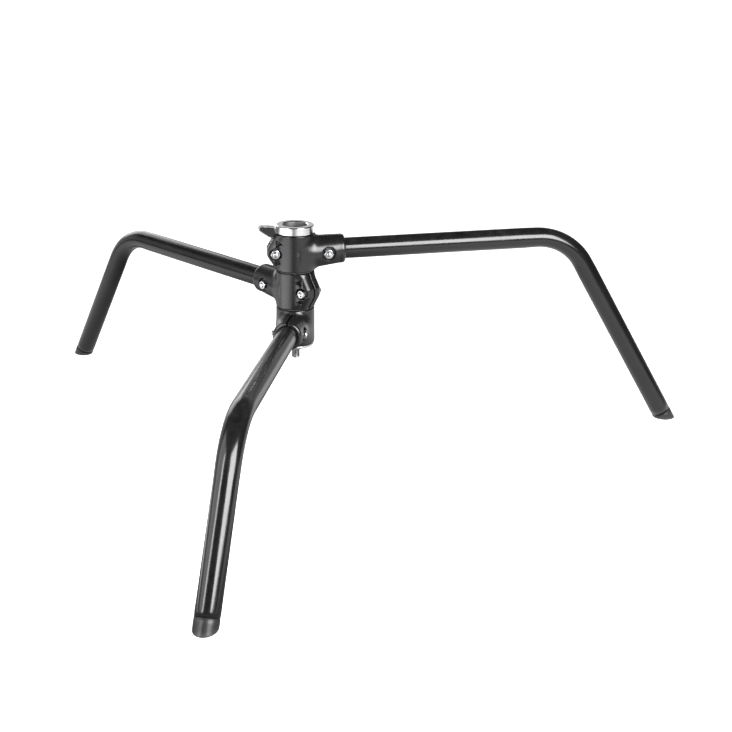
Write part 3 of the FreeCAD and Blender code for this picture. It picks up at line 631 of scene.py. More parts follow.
def cap_rubber(name, colour):
    """Matt dark grey moulded rubber, scuffed towards the floor."""
    scuff_height = 5 * MM
    tree, shader = start_material(name, IOR=1.5, Specular_IOR_Level=0.4)
    grain = use_group(tree, cast_grain, Pebble_Scale=2600.0, Swell_Scale=260.0)
    dust = use_group(tree, settled_dust, Amount=0.06)["Dust"]
    place = position(tree)
    low = ramp(tree, parts_of(tree, place)["Z"], floor_height() + scuff_height, floor_height())
    scuff = maths(tree, "MULTIPLY", low, ramp(tree, noise(tree, place, 700.0, 6.0, 0.7), 0.35, 0.7))
    base = two_tone(tree, grain["Tops"], colour, 0.8, 1.2)
    scuffed = mix_colour(tree, scuff, base, grey(0.11, 0.108))
    fill(tree, shader, Base_Color=mix_colour(tree, dust, scuffed, DUST),
         Roughness=between(tree, grain["Tops"], 0.4, 0.3), Normal=bump(tree, grain["Height"], 0.03 * MM, 0.6))


def plated(name, colour, rough_low, rough_high):
    """Plated or blackened steel."""
    tree, shader = start_material(name, Metallic=1.0)
    skin = use_group(tree, plated_skin, Spangle_Scale=900.0)
    fill(tree, shader, Base_Color=two_tone(tree, skin["Spangle"], colour, 0.82, 1.0),
         Roughness=between(tree, skin["Spangle"], rough_low, rough_high),
         Normal=bump(tree, skin["Height"], 0.01 * MM, 0.5))


def turned_metal(name, colour, rough_low, rough_high, depth):
    """Steel with lathe marks."""
    tree, shader = start_material(name, Metallic=1.0)
    marks = use_group(tree, turning_marks, Mark_Scale=7000.0)
    fill(tree, shader, Base_Color=two_tone(tree, marks["Streak"], colour, 0.86, 1.0),
         Roughness=between(tree, marks["Streak"], rough_high, rough_low),
         Normal=bump(tree, marks["Height"], depth, 0.5))


def ring_metal(name, colour, bore):
    """The bright ring's turned steel, with painted shade in its bore: dull and dark grey where the distance
    from the axis falls to the bore's radius."""
    tree, shader = start_material(name, Metallic=1.0)
    marks = use_group(tree, turning_marks, Mark_Scale=5200.0)
    flat = vector_maths(tree, "MULTIPLY", "Vector", position(tree), (1.0, 1.0, 0.0))
    # painted shade: the bore goes dark grey and rough
    bore_shade = ramp(tree, vector_maths(tree, "LENGTH", "Value", flat), bore + 0.5 * MM, bore + 0.2 * MM)
    bright = two_tone(tree, marks["Streak"], colour, 0.86, 1.0)
    rough = between(tree, marks["Streak"], 0.24, 0.15)
    fill(tree, shader, Base_Color=mix_colour(tree, bore_shade, bright, grey(0.2, 0.205)),
         Roughness=maths(tree, "MULTIPLY_ADD", bore_shade, 0.35, rough),
         Normal=bump(tree, marks["Height"], 0.0012 * MM, 0.5))


def fine_grain(tree):
    """The grain that the small moulded and enamelled pieces share."""
    return use_group(tree, cast_grain, Pebble_Scale=2200.0, Swell_Scale=300.0)


def lever_enamel(name):
    """Black enamel with a painted reflection, light grey on the tab's top: a rise of the normal's height
    times a rise of the distance from the sleeve's axis; the rubbed edges are grey too."""
    tree, shader = start_material(name, IOR=1.5)
    grain = fine_grain(tree)
    wear = use_group(tree, edge_wear, Amount=0.7, Break_Scale=420.0)
    # painted reflection: faces turned up on the tab go light grey
    upward = ramp(tree, parts_of(tree, normal(tree))["Z"], 0.35, 0.8)
    outside = ramp(tree, parts_of(tree, position(tree))["X"], -27 * MM, -33 * MM)
    top_sheen_and_wear = maths(tree, "MAXIMUM", maths(tree, "MULTIPLY", upward, outside), wear["Worn"])
    fill(tree, shader, Base_Color=mix_colour(tree, top_sheen_and_wear, grey(0.01), grey(0.22, 0.225)),
         Roughness=between(tree, grain["Tops"], 0.3, 0.2), Normal=bump(tree, grain["Height"], 0.02 * MM, 0.4))


def moulded(name, colour, rough):
    """A plain moulded piece with a fine grain."""
    tree, shader = start_material(name, IOR=1.5)
    grain = fine_grain(tree)
    fill(tree, shader, Base_Color=two_tone(tree, grain["Tops"], colour, 0.8, 1.2),
         Roughness=between(tree, grain["Tops"], rough + 0.08, rough),
         Normal=bump(tree, grain["Height"], 0.02 * MM, 0.4))


def finish_of(name):
    """A finish by name, made the first time it is asked for."""
    if name not in bpy.data.materials:
        colours = bpy.context.scene.stand_colours
        maker, *values = {
            "leg_paint_gloss": (leg_paint, colours.leg_paint),
            "collar_coat_satin": (collar_coat, colours.collar_coat),
            "cap_rubber_matt": (cap_rubber, colours.cap_rubber),
            "zinc_plate": (plated, colours.zinc, 0.2, 0.34),
            "dark_plate": (plated, (0.26, 0.26, 0.27), 0.3, 0.42),
            "black_steel_plate": (plated, (0.09, 0.09, 0.092), 0.36, 0.5),
            "turned_steel": (turned_metal, colours.steel, 0.24, 0.4, 0.004 * MM),
            # painted shade: a dark copy of turned steel for the pieces down in the bore
            "dull_bore_steel": (turned_metal, (0.2, 0.2, 0.205), 0.5, 0.6, 0.002 * MM),
            "polished_ring": (ring_metal, colours.polish, bpy.context.scene.stand_hub.receiver_radius),
            "washer_nylon": (moulded, (0.03, 0.03, 0.03), 0.5),
            "lever_enamel": (lever_enamel,),
        }[name]
        maker(name, *values)
    return bpy.data.materials[name]


# Legs

LEG_COLUMNS = 96


def leg_rows(scene, word):
    """The tube's centre line in its own plane, as rows of (reach, height, slope): a straight run, an arc
    that turns it down at constant radius and a straight drop to the foot cap. The fourth column is the
    flattening, a smooth bump over the arc."""
    straight_rows, arc_rows, ease, join, swell = 24, 72, 16 * MM, 20 * MM, 14 * MM
    legs = scene.stand_legs
    turn, rise, roll = legs.turn, legs.rise[LEVELS.index(word)], legs.roll[LEVELS.index(word)]
    setback = legs.bend_radius * math.tan(turn / 2)
    corner_height = level_height(scene, word) + legs.corner_slant * math.sin(rise) - floor_height()
    steepness = math.sin(turn) * math.cos(roll) * math.cos(rise) - math.cos(turn) * math.sin(rise)
    drop = corner_height / steepness - legs.cap_length
    run = legs.corner_slant - setback
    arc = legs.bend_radius * turn
    along = np.concatenate([
        np.linspace(legs.tube_start, run - join, straight_rows),
        np.linspace(run - ease, run + arc + ease, arc_rows),
        np.linspace(run + arc + join, run + arc + drop - setback, straight_rows)])
    turned = np.clip(along - run, 0, arc) / legs.bend_radius
    beyond = np.clip(along - run - arc, 0, None)
    reach = np.minimum(along, run) + legs.bend_radius * np.sin(turned) + beyond * math.cos(turn)
    height = -legs.bend_radius * (1 - np.cos(turned)) - beyond * math.sin(turn)
    share = np.clip((along - run + swell) / (arc + 2 * swell), 0, 1)
    return np.stack([reach, height, -turned, np.sin(share * math.pi) ** 0.8], axis=-1)


def leg_surface(rows, radius, flattening):
    """Rings round the centre line. In the bend the section is an ellipse, narrower in the plane of the
    bend and wider across it by less than half as much."""
    turn = around(LEG_COLUMNS)
    slope, squash = rows[:, 2:3], rows[:, 3:4] * flattening
    lift = radius[:, None] * np.cos(turn) * (1 - squash)
    side = radius[:, None] * np.sin(turn) * (1 + 0.45 * squash)
    return np.stack([rows[:, 0:1] - lift * np.sin(slope), side, rows[:, 1:2] + lift * np.cos(slope)],
                    axis=-1).reshape(-1, 3)


class STAND_OT_legs(bpy.types.Operator):
    """Build the three bent leg tubes"""

    bl_idname = "stand.legs"
    bl_label = "Leg Tubes"

    def execute(self, context):
        legs = context.scene.stand_legs
        end_chamfer = 0.3 * MM
        for word in LEVELS:
            rows = leg_rows(context.scene, word)
            outer = np.full(len(rows), legs.tube_radius)
            outer[[0, -1]] -= end_chamfer
            inner = np.full(len(rows), legs.tube_radius - legs.tube_wall)
            skin = np.concatenate([leg_surface(rows, outer, legs.flattening),
                                   leg_surface(rows[::-1], inner, legs.flattening)])
            piece = new_piece(f"leg_tube_{word}", placed(skin, tube_place(context.scene, word)),
                              grid_quads(2 * len(rows), LEG_COLUMNS, closed=True))
            settle(piece, f"leg_{word}", "leg_paint_gloss")
        return {"FINISHED"}


def foot_cap_piece(scene, word):
    """A plug turned about the drop's axis, whose side runs down to the floor: the side point with spoke s
    meets the floor a length (floor - end - r s) / axis below the tube's end, heights only. The edge there
    is a quarter round."""
    depth, chamfer, edge, gap, play = 26 * MM, 0.5 * MM, 1.7 * MM, 0.12 * MM, 0.25 * MM
    legs = scene.stand_legs
    radius = legs.tube_radius - gap
    spigot = legs.tube_radius - legs.tube_wall - play
    place = tube_place(scene, word)
    last = leg_rows(scene, word)[-1]
    slant, fall = math.cos(legs.turn), math.sin(legs.turn)
    directions = ((slant, 0, -fall), (fall, 0, slant), (0, 1, 0))
    axis, lift, side = (np.array(place.to_3x3() @ Vector(part)) for part in directions)
    end = np.array(place @ Vector((last[0], 0, last[1])))
    turn = around(LEG_COLUMNS)[:, None]
    spoke = lift * np.cos(turn) + side * np.sin(turn)
    reach = (floor_height() - end[2] - radius * spoke[:, 2:]) / axis[2]
    foot = end + axis * (floor_height() - end[2]) / axis[2]
    rim = end + spoke * radius + axis * reach
    inwards = (foot - rim) / np.linalg.norm(foot - rim, axis=1)[:, None]
    profile = softened([(spigot * 0.55, -depth), (spigot - 0.8 * MM, -depth), (spigot, -24 * MM),
                        (spigot, 0.0), (radius - chamfer, 0.02 * MM), (radius, chamfer)], 0.4 * MM)
    rows = [end + spoke * ring + axis * level for ring, level in profile]
    for share in (0.3, 0.6, 0.85, 0.97):
        rows.append(end + spoke * radius + axis * (chamfer + (reach - edge - chamfer) * share))
    for quarter in np.linspace(0, math.pi / 2, 7):
        rows.append(rim - axis * edge * (1 - math.sin(quarter)) + inwards * edge * (1 - math.cos(quarter)))
    for share in (0.25, 0.6, 0.9):
        rows.append(rim + inwards * edge + (foot - rim - inwards * edge) * share)
    poles = np.stack([end - axis * depth, foot])
    return capped_piece(f"foot_plug_{word}", np.concatenate(rows), LEG_COLUMNS, poles)


class STAND_OT_foot_caps(bpy.types.Operator):
    """Build the foot caps, cut level with the floor"""

    bl_idname = "stand.foot_caps"
    bl_label = "Foot Caps"

    def execute(self, context):
        for word in LEVELS:
            settle(foot_cap_piece(context.scene, word), f"foot_cap_{word}", "cap_rubber_matt")
        return {"FINISHED"}


# Castings: signed distances on a grid

def soft_least(a, b, size):
    """The lesser of two distances, with a fillet where they are within a size of each other."""
    share = np.clip(size - np.abs(a - b), 0, None) / size
    return np.minimum(a, b) - share * share * size / 4


def soft_most(a, b, size):
    """The greater of two distances, with a rounded edge."""
    return -soft_least(-a, -b, size)


def rod_distance(across, beside, radius):
    """Distance outside an endless round rod, given the two coordinates across it."""
    return np.hypot(across, beside) - radius


def slab_distance(value, low, high):
    """Distance outside a slab between two planes."""
    return np.maximum(low - value, value - high)


def outline_distance(x, z, corners):
    """Distance outside a convex outline, the greatest of the distances outside its sides."""
    points = np.array(corners, float)
    ahead = np.roll(points, -1, axis=0) - points
    across = np.stack([ahead[:, 1], -ahead[:, 0]], axis=-1) / np.linalg.norm(ahead, axis=1)[:, None]
    if np.sum((points - points.mean(axis=0)) * across) < 0:
        across = -across
    return np.max([n[0] * (x - p[0]) + n[1] * (z - p[1]) for p, n in zip(points, across)], axis=0)


def corner_cut(cells, axis, first, second):
    """The other two axes, and slices that take the grid's lines along an axis at one corner of each cell.
    A corner of None takes the lines with cells all round them."""
    others = [i for i in range(3) if i != axis]
    cut = [slice(None)] * 3
    for other, start in zip(others, (first, second)):
        cut[other] = slice(1, -1) if start is None else slice(start, start + cells[other])
    return others, tuple(cut)


def surface_net(distance, low, high, step):
    """The surface where a distance is nought: one point in each grid cell that it crosses, at the mean of
    the crossings on the cell's edges, moved twice down the distance's own gradient, and one quad across
    each grid edge whose ends lie on either side. The last array is the surface's bend, from the
    distance's second differences: above nought on edges and below it in creases."""
    bend_reach, bend_gain, least_slope = 1.1 * MM, 1.6, 0.2
    lines = [np.arange(a, b + step, step) for a, b in zip(low, high)]
    field = distance(*np.meshgrid(*lines, indexing="ij"))
    cells = np.array(field.shape) - 1
    total = np.zeros((*cells, 3))
    count = np.zeros(cells)
    crossings = []
    for axis in range(3):
        start = np.take(field, range(0, cells[axis]), axis)
        end = np.take(field, range(1, cells[axis] + 1), axis)
        crossed = (start < 0) != (end < 0)
        share = np.where(crossed, start / np.where(crossed, start - end, 1), 0)
        crossings.append((crossed, start < 0))
        for corner in ((0, 0), (0, 1), (1, 0), (1, 1)):
            others, cut = corner_cut(cells, axis, *corner)
            offset = np.zeros((*cells, 3))
            offset[..., axis] = share[cut]
            offset[..., others] = corner
            total += offset * crossed[cut][..., None]
            count += crossed[cut]
    used = count > 0
    number = np.full(cells, -1)
    number[used] = np.arange(used.sum())
    points = (np.argwhere(used) + total[used] / count[used][:, None]) * step + np.array(low)
    quads = []
    for axis, (crossed, starts_inside) in enumerate(crossings):
        others, cut = corner_cut(cells, axis, None, None)
        place = np.argwhere(crossed[cut])
        corner = []
        for offset in ((0, 0), (1, 0), (1, 1), (0, 1)):
            cell = place.copy()
            cell[:, others] += offset
            corner.append(number[tuple(cell.T)])
        faces = np.stack(corner, axis=-1)
        flip = starts_inside[cut][tuple(place.T)] != (axis == 1)
        quads.append(np.where(flip[:, None], faces, faces[:, ::-1]))

    def beside(reach):
        return [[distance(*(points + way * turn * reach).T) for turn in np.eye(3)] for way in (1, -1)]

    for _ in range(2):
        ahead, behind = np.array(beside(step * 0.4))
        gradient = ((ahead - behind) / (2 * (step * 0.4))).T
        slope = np.maximum(np.sum(gradient ** 2, axis=1), least_slope)
        points = points - gradient * (distance(*points.T) / slope)[:, None]
    bend = (sum(sum(beside(bend_reach), [])) - 6 * distance(*points.T)) / bend_reach
    return points, np.concatenate(quads), np.clip(bend * bend_gain, -1, 1)


# Sizes of the castings in a collar's own frame: its X axis runs along the socket and the lugs are on -X

TAPER = 2.4 * MM
TAPER_END = 52 * MM
TAPER_LENGTH = 37.6 * MM
SOCKET_START = 8 * MM
LUG_CORNER = 22.0 * MM
LUG_TIP = 5.0 * MM
LUG_BEVEL = 5.5 * MM
DIAGONAL = 0.7071  # the cosine of the bevel's 45 degrees
SLIT_HALF = 1.1 * MM
SPLIT_HALF = 1.0 * MM
BOLT_HOLE = 3.2 * MM
POCKETS = ((-21.8 * MM, 11.4 * MM, 5.0 * MM), (-22.6 * MM, -12.2 * MM, 3.4 * MM))
POCKET_FLOOR = 11.0 * MM
SCREW_TURN = math.radians(-85.0)
SCREW_RADIUS = 2.02 * MM
SCREW_HEIGHT = 1.1 * MM
SCREW_START = 15 * MM

# Places of the lever's pin and spring. The pin's height is below the ring's seat.

PIN_REACH = 20.2 * MM
PIN_DROP = 7.5 * MM
SPRING_REACH = 27.5 * MM


def bolt_seats(scene, word):
    """Reach, height, seat and recess radius of the lug bolt and the socket bolt, in a collar's own frame."""
    rise = scene.stand_legs.rise[LEVELS.index(word)]
    return ((-24.8 * MM, -1.0 * MM, 9.5 * MM, 7.0 * MM),
            (38.2 * MM, 38.2 * MM * math.tan(rise) - 2.0 * MM, 14.0 * MM, 8.4 * MM))


def collar_distance(scene, word):
    """Distance outside a clamp collar in its own frame: barrel, socket and lugs run together with soft
    fillets, less the bores, the two slits, the bolt seats and the pockets cored into the lugs."""
    sizes, legs = scene.stand_collars, scene.stand_legs
    half = sizes.height / 2
    rise = legs.rise[LEVELS.index(word)]
    lug_outline = [
        (0.0, half + 4 * MM), (-LUG_CORNER, half + 1 * MM), (-sizes.lug_reach, LUG_TIP),
        (-sizes.lug_reach, -LUG_TIP), (-LUG_CORNER, -half - 1 * MM), (0.0, -half - 4 * MM)]

    def solid(x, y, z, along, above):
        taper = TAPER * np.clip((TAPER_END - along) / TAPER_LENGTH, 0, 1)
        socket = soft_most(rod_distance(y, above + taper, sizes.socket_radius + taper),
                           along - sizes.socket_reach, 4.6 * MM)
        socket = np.maximum(socket, SOCKET_START - along)
        profile = outline_distance(x, z, lug_outline)
        beside = np.abs(y) - sizes.lug_half
        bevel = (profile + beside + LUG_BEVEL) * DIAGONAL
        lugs = soft_most(soft_most(profile, beside, 3.0 * MM), bevel, 3.0 * MM)
        body = soft_least(rod_distance(x, y, sizes.radius), socket, sizes.blend)
        return soft_most(soft_least(body, lugs, 3.0 * MM), np.abs(z) - half, 1.6 * MM)

    def rooms(x, y, z, along, above):
        """What is cut away, each with the size of its rounded edge."""
        hollow = rod_distance(x, y, sizes.bore)
        tube = np.maximum(rod_distance(y, above, legs.tube_radius + 0.05 * MM), legs.tube_start - along)
        yield np.minimum(hollow, tube), 0.9 * MM
        slit = np.maximum(np.abs(y) - SLIT_HALF, np.maximum(legs.tube_start - x, -z))
        split = np.maximum(np.abs(y) - SPLIT_HALF, x + 2 * MM)
        yield np.minimum(slit, split), 0.7 * MM
        for reach, level, seat, recess in bolt_seats(scene, word):
            hole = rod_distance(x - reach, z - level, BOLT_HOLE)
            room = np.maximum(rod_distance(x - reach, z - level, recess), seat - np.abs(y))
            yield np.minimum(hole, room), 0.9 * MM
        for reach, level, size in POCKETS:
            yield np.maximum(three_sided(x - reach, z - level, size), POCKET_FLOOR - np.abs(y)), 1.2 * MM
        if word == "top":
            yield lever_room(x, y, z, half), 0.7 * MM
            yield set_screw_room(x, y, z), 0.7 * MM

    def distance(x, y, z):
        along = x * math.cos(rise) + z * math.sin(rise)
        above = z * math.cos(rise) - x * math.sin(rise)
        body = solid(x, y, z, along, above)
        for room, soft in rooms(x, y, z, along, above):
            body = soft_most(body, -room, soft)
        return body

    return distance


def three_sided(x, z, size):
    """Distance outside a triangle with a corner radius of size, pointing along +X."""
    sides = [x * math.cos(turn) + z * math.sin(turn) for turn in (math.pi, math.pi / 3, -math.pi / 3)]
    return np.max(sides, axis=0) - size / 2


def lever_room(x, y, z, half):
    """The top collar's slot for the lever, with the spring's hole and the pin's."""
    slot = np.maximum(np.maximum(np.abs(y) - 3.8 * MM, half - 14 * MM - z), x + 14.4 * MM)
    hole = np.maximum(rod_distance(x + SPRING_REACH, y, 2.8 * MM), half - 16 * MM - z)
    pin = np.maximum(rod_distance(x + PIN_REACH, z - half + PIN_DROP, 1.52 * MM), -10 * MM - y)
    return np.minimum(np.minimum(slot, hole), pin)


def set_screw_room(x, y, z):
    """The top collar's small threaded hole for the set screw."""
    beside = y * math.cos(SCREW_TURN) - x * math.sin(SCREW_TURN)
    outward_reach = x * math.cos(SCREW_TURN) + y * math.sin(SCREW_TURN)
    return np.maximum(rod_distance(beside, z - SCREW_HEIGHT, SCREW_RADIUS), SCREW_START - outward_reach)


class STAND_OT_collars(bpy.types.Operator):
    """Build the three clamp collars as castings"""

    bl_idname = "stand.collars"
    bl_label = "Clamp Collars"

    def execute(self, context):
        sizes = context.scene.stand_collars
        margin = 2 * MM
        low = (-sizes.lug_reach - margin, -sizes.radius - margin, -sizes.height / 2 - margin)
        high = (sizes.socket_reach + margin, sizes.radius + margin, sizes.height / 2 + margin)
        for word in LEVELS:
            points, quads, edge = surface_net(collar_distance(context.scene, word), low, high, sizes.grain)
            points = placed(points, level_place(context.scene, word))
            piece = new_piece(f"clamp_collar_{word}", points, quads, edge=edge)
            settle(piece, f"collar_{word}", "collar_coat_satin")
        return {"FINISHED"}


# Fasteners

NUT_COLUMNS = 72


def cross_place(scene, word, reach, level, seat):
    """Frame of a cross bolt: origin on its seat, its axis towards the collar's +Y side."""
    return (level_place(scene, word) @ Matrix.Translation((reach, seat, level))
            @ Matrix.Rotation(-math.pi / 2, 4, "X"))


def bolt_piece(name, sizes, length, place):
    """A socket-head bolt about its axis: a hexagonal key recess with a coned mouth, a knurled round head
    with a rounded brow, a plain neck and a thread with a chamfered end."""
    columns, flutes, flute_depth, thread_length = 72, 36, 0.09 * MM, 12 * MM
    key = hexagon(2.9 * MM, columns)
    top, shank = sizes.head_height, sizes.bolt_radius
    side = sizes.head_radius - 0.08 * MM
    wave = np.abs(((around(columns) / math.tau * flutes) % 1) * 2 - 1) - 0.5
    knurl = flute_depth * wave
    head = [
        (key * 0.4, top - 3.2 * MM), (key * 0.96, top - 3.0 * MM), (key, top - 2.9 * MM),
        (key, top - 0.45 * MM),
        (3.05 * MM, top - 0.12 * MM), (3.2 * MM, top), (3.5 * MM, top), (side - 0.75 * MM, top),
        (side - 0.6 * MM, top - 0.02 * MM), (side - 0.2 * MM, top - 0.25 * MM), (side, top - 0.62 * MM),
        (side + knurl * 0.3, top - 0.8 * MM), (side + knurl, top - 1.0 * MM), (side + knurl, 0.5 * MM),
        (side - 0.02 * MM, 0.2 * MM), (side - 0.15 * MM, 0.0), (shank, 0.0)]
    spiral = thread(shank, sizes.pitch, -length + thread_length, -length + 0.7 * MM, columns)
    tail = [(shank - 0.1 * MM, -length + 0.6 * MM), (shank - 0.75 * MM, -length)]
    return threaded_piece(name, head, spiral, tail, (top - 3.7 * MM, -length), columns, place)


def nut_piece(name, corner, height, hole, place):
    """A hexagon nut about its axis from 0 to its height: the section is a hexagon, and a 30 degree cone
    takes off the corners at both faces, which leaves curved brows on the flats."""
    section = hexagon(corner, NUT_COLUMNS)
    face = corner * math.cos(math.tau / 12) * 0.96
    drop = np.clip(section - face, 0, None) * math.tan(math.radians(30))
    half = height / 2
    upper = [
        (hole, half * 0.1), (hole, half - 0.45 * MM), (hole + 0.4 * MM, half - 0.05 * MM),
        (hole + 0.5 * MM, half), (hole + 0.6 * MM, half), (face - 0.1 * MM, half), (face, half - 0.01 * MM),
        (section - 0.08 * MM, half - drop + 0.01 * MM), (section, half - drop - 0.08 * MM),
        (section, half - drop - 0.25 * MM), (section, half * 0.1)]
    radius, level = turned_rows(upper + [(r, -h) for r, h in reversed(upper)], NUT_COLUMNS)
    points = placed(spun_points(radius, level + half, NUT_COLUMNS), place)
    return new_piece(name, points, grid_quads(len(radius), NUT_COLUMNS, closed=True))


class STAND_OT_fasteners(bpy.types.Operator):
    """Build the cross bolts and nuts of the collars"""

    bl_idname = "stand.fasteners"
    bl_label = "Cross Bolts and Nuts"

    def execute(self, context):
        scene = context.scene
        sizes = scene.stand_fasteners
        for word in LEVELS:
            for kind, (reach, level, seat, _) in zip(("lug", "socket"), bolt_seats(scene, word)):
                length = seat * 2 + sizes.nut_height + sizes.bolt_end
                head_side = cross_place(scene, word, reach, level, seat)
                bolt = bolt_piece(f"{kind}_screw_{word}", sizes, length, head_side)
                settle(bolt, f"{kind}_bolt_{word}", "zinc_plate")
                nut_side = cross_place(scene, word, reach, level, -seat) @ Matrix.Rotation(math.pi, 4, "X")
                nut = nut_piece(f"{kind}_hexnut_{word}", sizes.nut_corner, sizes.nut_height,
                                sizes.bolt_radius, nut_side)
                settle(nut, f"{kind}_nut_{word}", "zinc_plate")
        return {"FINISHED"}


# Turned pieces of the hub

class STAND_OT_hub(bpy.types.Operator):
    """Build the bright ring, the disc, the central rod, its nut and its washer"""

    bl_idname = "stand.hub"
    bl_label = "Hub Pieces"

    def execute(self, context):
        sizes = context.scene.stand_hub
        bore, sleeve = sizes.receiver_radius, sizes.sleeve_radius
        outer, top = sizes.ring_radius, sizes.ring_height
        chamfer, seat = 0.8 * MM, 4.0 * MM
        ring = spun_ring("bright_ring", [
            (19.0 * MM, 0.0), (outer - chamfer, 0.0), (outer, chamfer), (outer, top - chamfer),
            (outer - chamfer, top), (bore + 1.3 * MM, top), (bore, top - 1.1 * MM), (bore, seat),
            (sleeve, seat), (sleeve, 0.0), (18.5 * MM, 0.0)], 0.35 * MM, 192)
        settle(ring, "top_ring", "polished_ring")

        low, high = (corner.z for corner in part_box("retaining_disc"))
        edge, hole, outer = 0.6 * MM, sizes.rod_radius + 0.1 * MM, sizes.disc_radius
        disc = spun_ring("bottom_disc", [
            (12.0 * MM, low), (outer - edge, low), (outer, low + edge), (outer, high - edge),
            (outer - edge, high), (hole, high), (hole, low), (11.5 * MM, low)], 0.3 * MM, 144)
        settle(disc, "retaining_disc", "turned_steel")

        low, high = (corner.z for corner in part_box("central_washer"))
        outer = 9.4 * MM
        washer = spun_ring("rod_washer", [
            (7.0 * MM, low), (outer, low), (outer, high), (hole, high), (hole, low), (6.8 * MM, low)],
            0.15 * MM, 96)
        settle(washer, "central_washer", "zinc_plate")

        low, high = (corner.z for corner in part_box("central_nut"))
        nut = nut_piece("rod_nut", 9.8 * MM, high - low, sizes.rod_radius, Matrix.Translation((0, 0, low)))
        settle(nut, "central_nut", "zinc_plate")
        settle(rod_piece(sizes), "central_rod", "dark_plate")
        return {"FINISHED"}


def rod_piece(sizes):
    """The central rod from its key head down: the head, a plain shank and a thread with a chamfered end."""
    columns, steps = 64, 10
    low, high = (corner.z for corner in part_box("central_rod"))
    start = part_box("retaining_disc")[0].z
    head_radius, key_depth, shank = 8.0 * MM, 4.0 * MM, sizes.rod_radius
    seat = high - 9.0 * MM
    key = hexagon(4.6 * MM, columns)
    head = [
        (key * 0.5, high - key_depth), (key, high - key_depth), (key, high - 0.2 * MM), (5.2 * MM, high),
        (7.4 * MM, high), (head_radius, high - 0.6 * MM), (head_radius, seat + 0.2 * MM), (7.9 * MM, seat),
        (shank, seat), (shank, start)]
    spiral = thread(shank, sizes.rod_pitch, start - 0.2 * MM, low + 1.2 * MM, columns, steps)
    tail = [(shank - 0.3 * MM, low + 1.1 * MM), (shank - 1.4 * MM, low)]
    poles = (high - 4.2 * MM, low)
    return threaded_piece("threaded_rod", head, spiral, tail, poles, columns, Matrix.Identity(4))


# Lever

# Outlines of its arm, its web and its thumb tab, in millimetres of reach and height
LEVER_ARM = ((-18.0, -9.5), (-17.6, -1.2), (-23.5, -1.2), (-24.8, -6.3), (-22.4, -9.5))
LEVER_WEB = ((-22.0, -1.2), (-23.9, 7.4), (-25.2, 8.4), (-33.0, 8.7), (-38.0, 0.2), (-31.5, -4.0),
             (-28.5, -6.0), (-24.0, -6.2))
LEVER_TAB = ((-31.0, 8.6), (-40.6, 9.3), (-42.6, 8.6), (-43.6, 6.4), (-42.6, 3.0), (-37.0, -0.6),
             (-31.5, -4.0))


def lever_distance(scene):
    """Distance outside the thumb lever: the convex outlines of its arm, web and tab run together, a nose
    above the pivot and a round hub, less the pivot hole."""
    half = scene.stand_hub.lever_width / 2

    def distance(x, y, z):
        arm, web, tab = (outline_distance(x, z, np.array(outline) * MM)
                         for outline in (LEVER_ARM, LEVER_WEB, LEVER_TAB))
        flat = soft_least(soft_least(arm, web, 0.8 * MM), tab, 1.5 * MM)
        body = soft_most(flat, np.abs(y) - half, 1.6 * MM)
        hub = soft_most(rod_distance(x + PIN_REACH, z + PIN_DROP, 3.0 * MM), np.abs(y) - half, 0.8 * MM)
        nose = np.maximum(slab_distance(x, -PIN_REACH, -14.5 * MM), slab_distance(z, -5.2 * MM, -1.2 * MM))
        nose = soft_most(nose, np.abs(y) - 2.3 * MM, 0.6 * MM)
        body = np.minimum(soft_least(body, hub, 0.8 * MM), nose)
        return soft_most(body, -rod_distance(x + PIN_REACH, z + PIN_DROP, 1.55 * MM), 0.4 * MM)

    return distance


def spring_piece():
    """A coil spring: a wire swept round a helix of five turns, whose end turns lie flat. The centre's
    height is the smooth step 3t^2 - 2t^3 mixed half and half with t."""
    low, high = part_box("lever_spring")
    wire, radius, turns, turn_rows, columns = 0.34 * MM, 2.1 * MM, 5, 36, 16
    share = np.linspace(0, 1, turns * turn_rows)[:, None]
    turned = share * turns * math.tau
    rise = 0.5 * share + 0.5 * share ** 2 * (3 - 2 * share)
    spoke = np.concatenate([np.cos(turned), np.sin(turned), np.zeros_like(turned)], axis=1)
    up = np.array([0.0, 0.0, 1.0])
    centre = spoke * radius + up * (low.z + wire + rise * (high.z - low.z - 2 * wire))
    centre[:, 0] -= SPRING_REACH
    round_wire = around(columns)[None, :, None]
    rings = centre[:, None] + wire * (np.cos(round_wire) * spoke[:, None] + np.sin(round_wire) * up)
    return capped_piece("lever_coil", rings.reshape(-1, 3), columns, centre[[0, -1]])


class STAND_OT_lever(bpy.types.Operator):
    """Build the thumb lever and its spring"""

    bl_idname = "stand.lever"
    bl_label = "Thumb Lever"

    def execute(self, context):
        margin, grain = 1 * MM, 0.28 * MM
        low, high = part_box("riser_lever")
        points, quads, edge = surface_net(lever_distance(context.scene), [value - margin for value in low],
                                          [value + margin for value in high], grain)
        lever = new_piece("thumb_lever", points, quads, edge=edge)
        settle(lever, "riser_lever", "lever_enamel")

        coil = spring_piece()
        settle(coil, "lever_spring", "zinc_plate")
        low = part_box("lever_spring")[0]
        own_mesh(coil)
        return {"FINISHED"}


class STAND_OT_small_finishes(bpy.types.Operator):
    """Give the frame's own small pieces their finishes"""

    bl_idname = "stand.small_finishes"
    bl_label = "Small Pieces"

    def execute(self, context):
        finishes = {
            # the sleeve and its plug get the dark copy of turned steel, painted shade of the bore
            "dull_bore_steel": ("central_sleeve", "sleeve_plug"),
            "turned_steel": ("lever_pin", "stop_pin_upper", "stop_pin_lower"),
            "black_steel_plate": ("set_screw",),
            "washer_nylon": ("friction_washer_upper", "friction_washer_middle", "friction_washer_lower")}
        for finish, nodes in finishes.items():
            for slot in (slot for node in nodes for slot in NODES[node].material_slots):
                slot.material = finish_of(finish)
        return {"FINISHED"}


# Stage

CAMERA_PLACE = Vector((-0.1677, -1.3657, 0.3352))
AIM = Vector((0.0, 0.0, -0.09))
FLOOR_HALF = 9.0


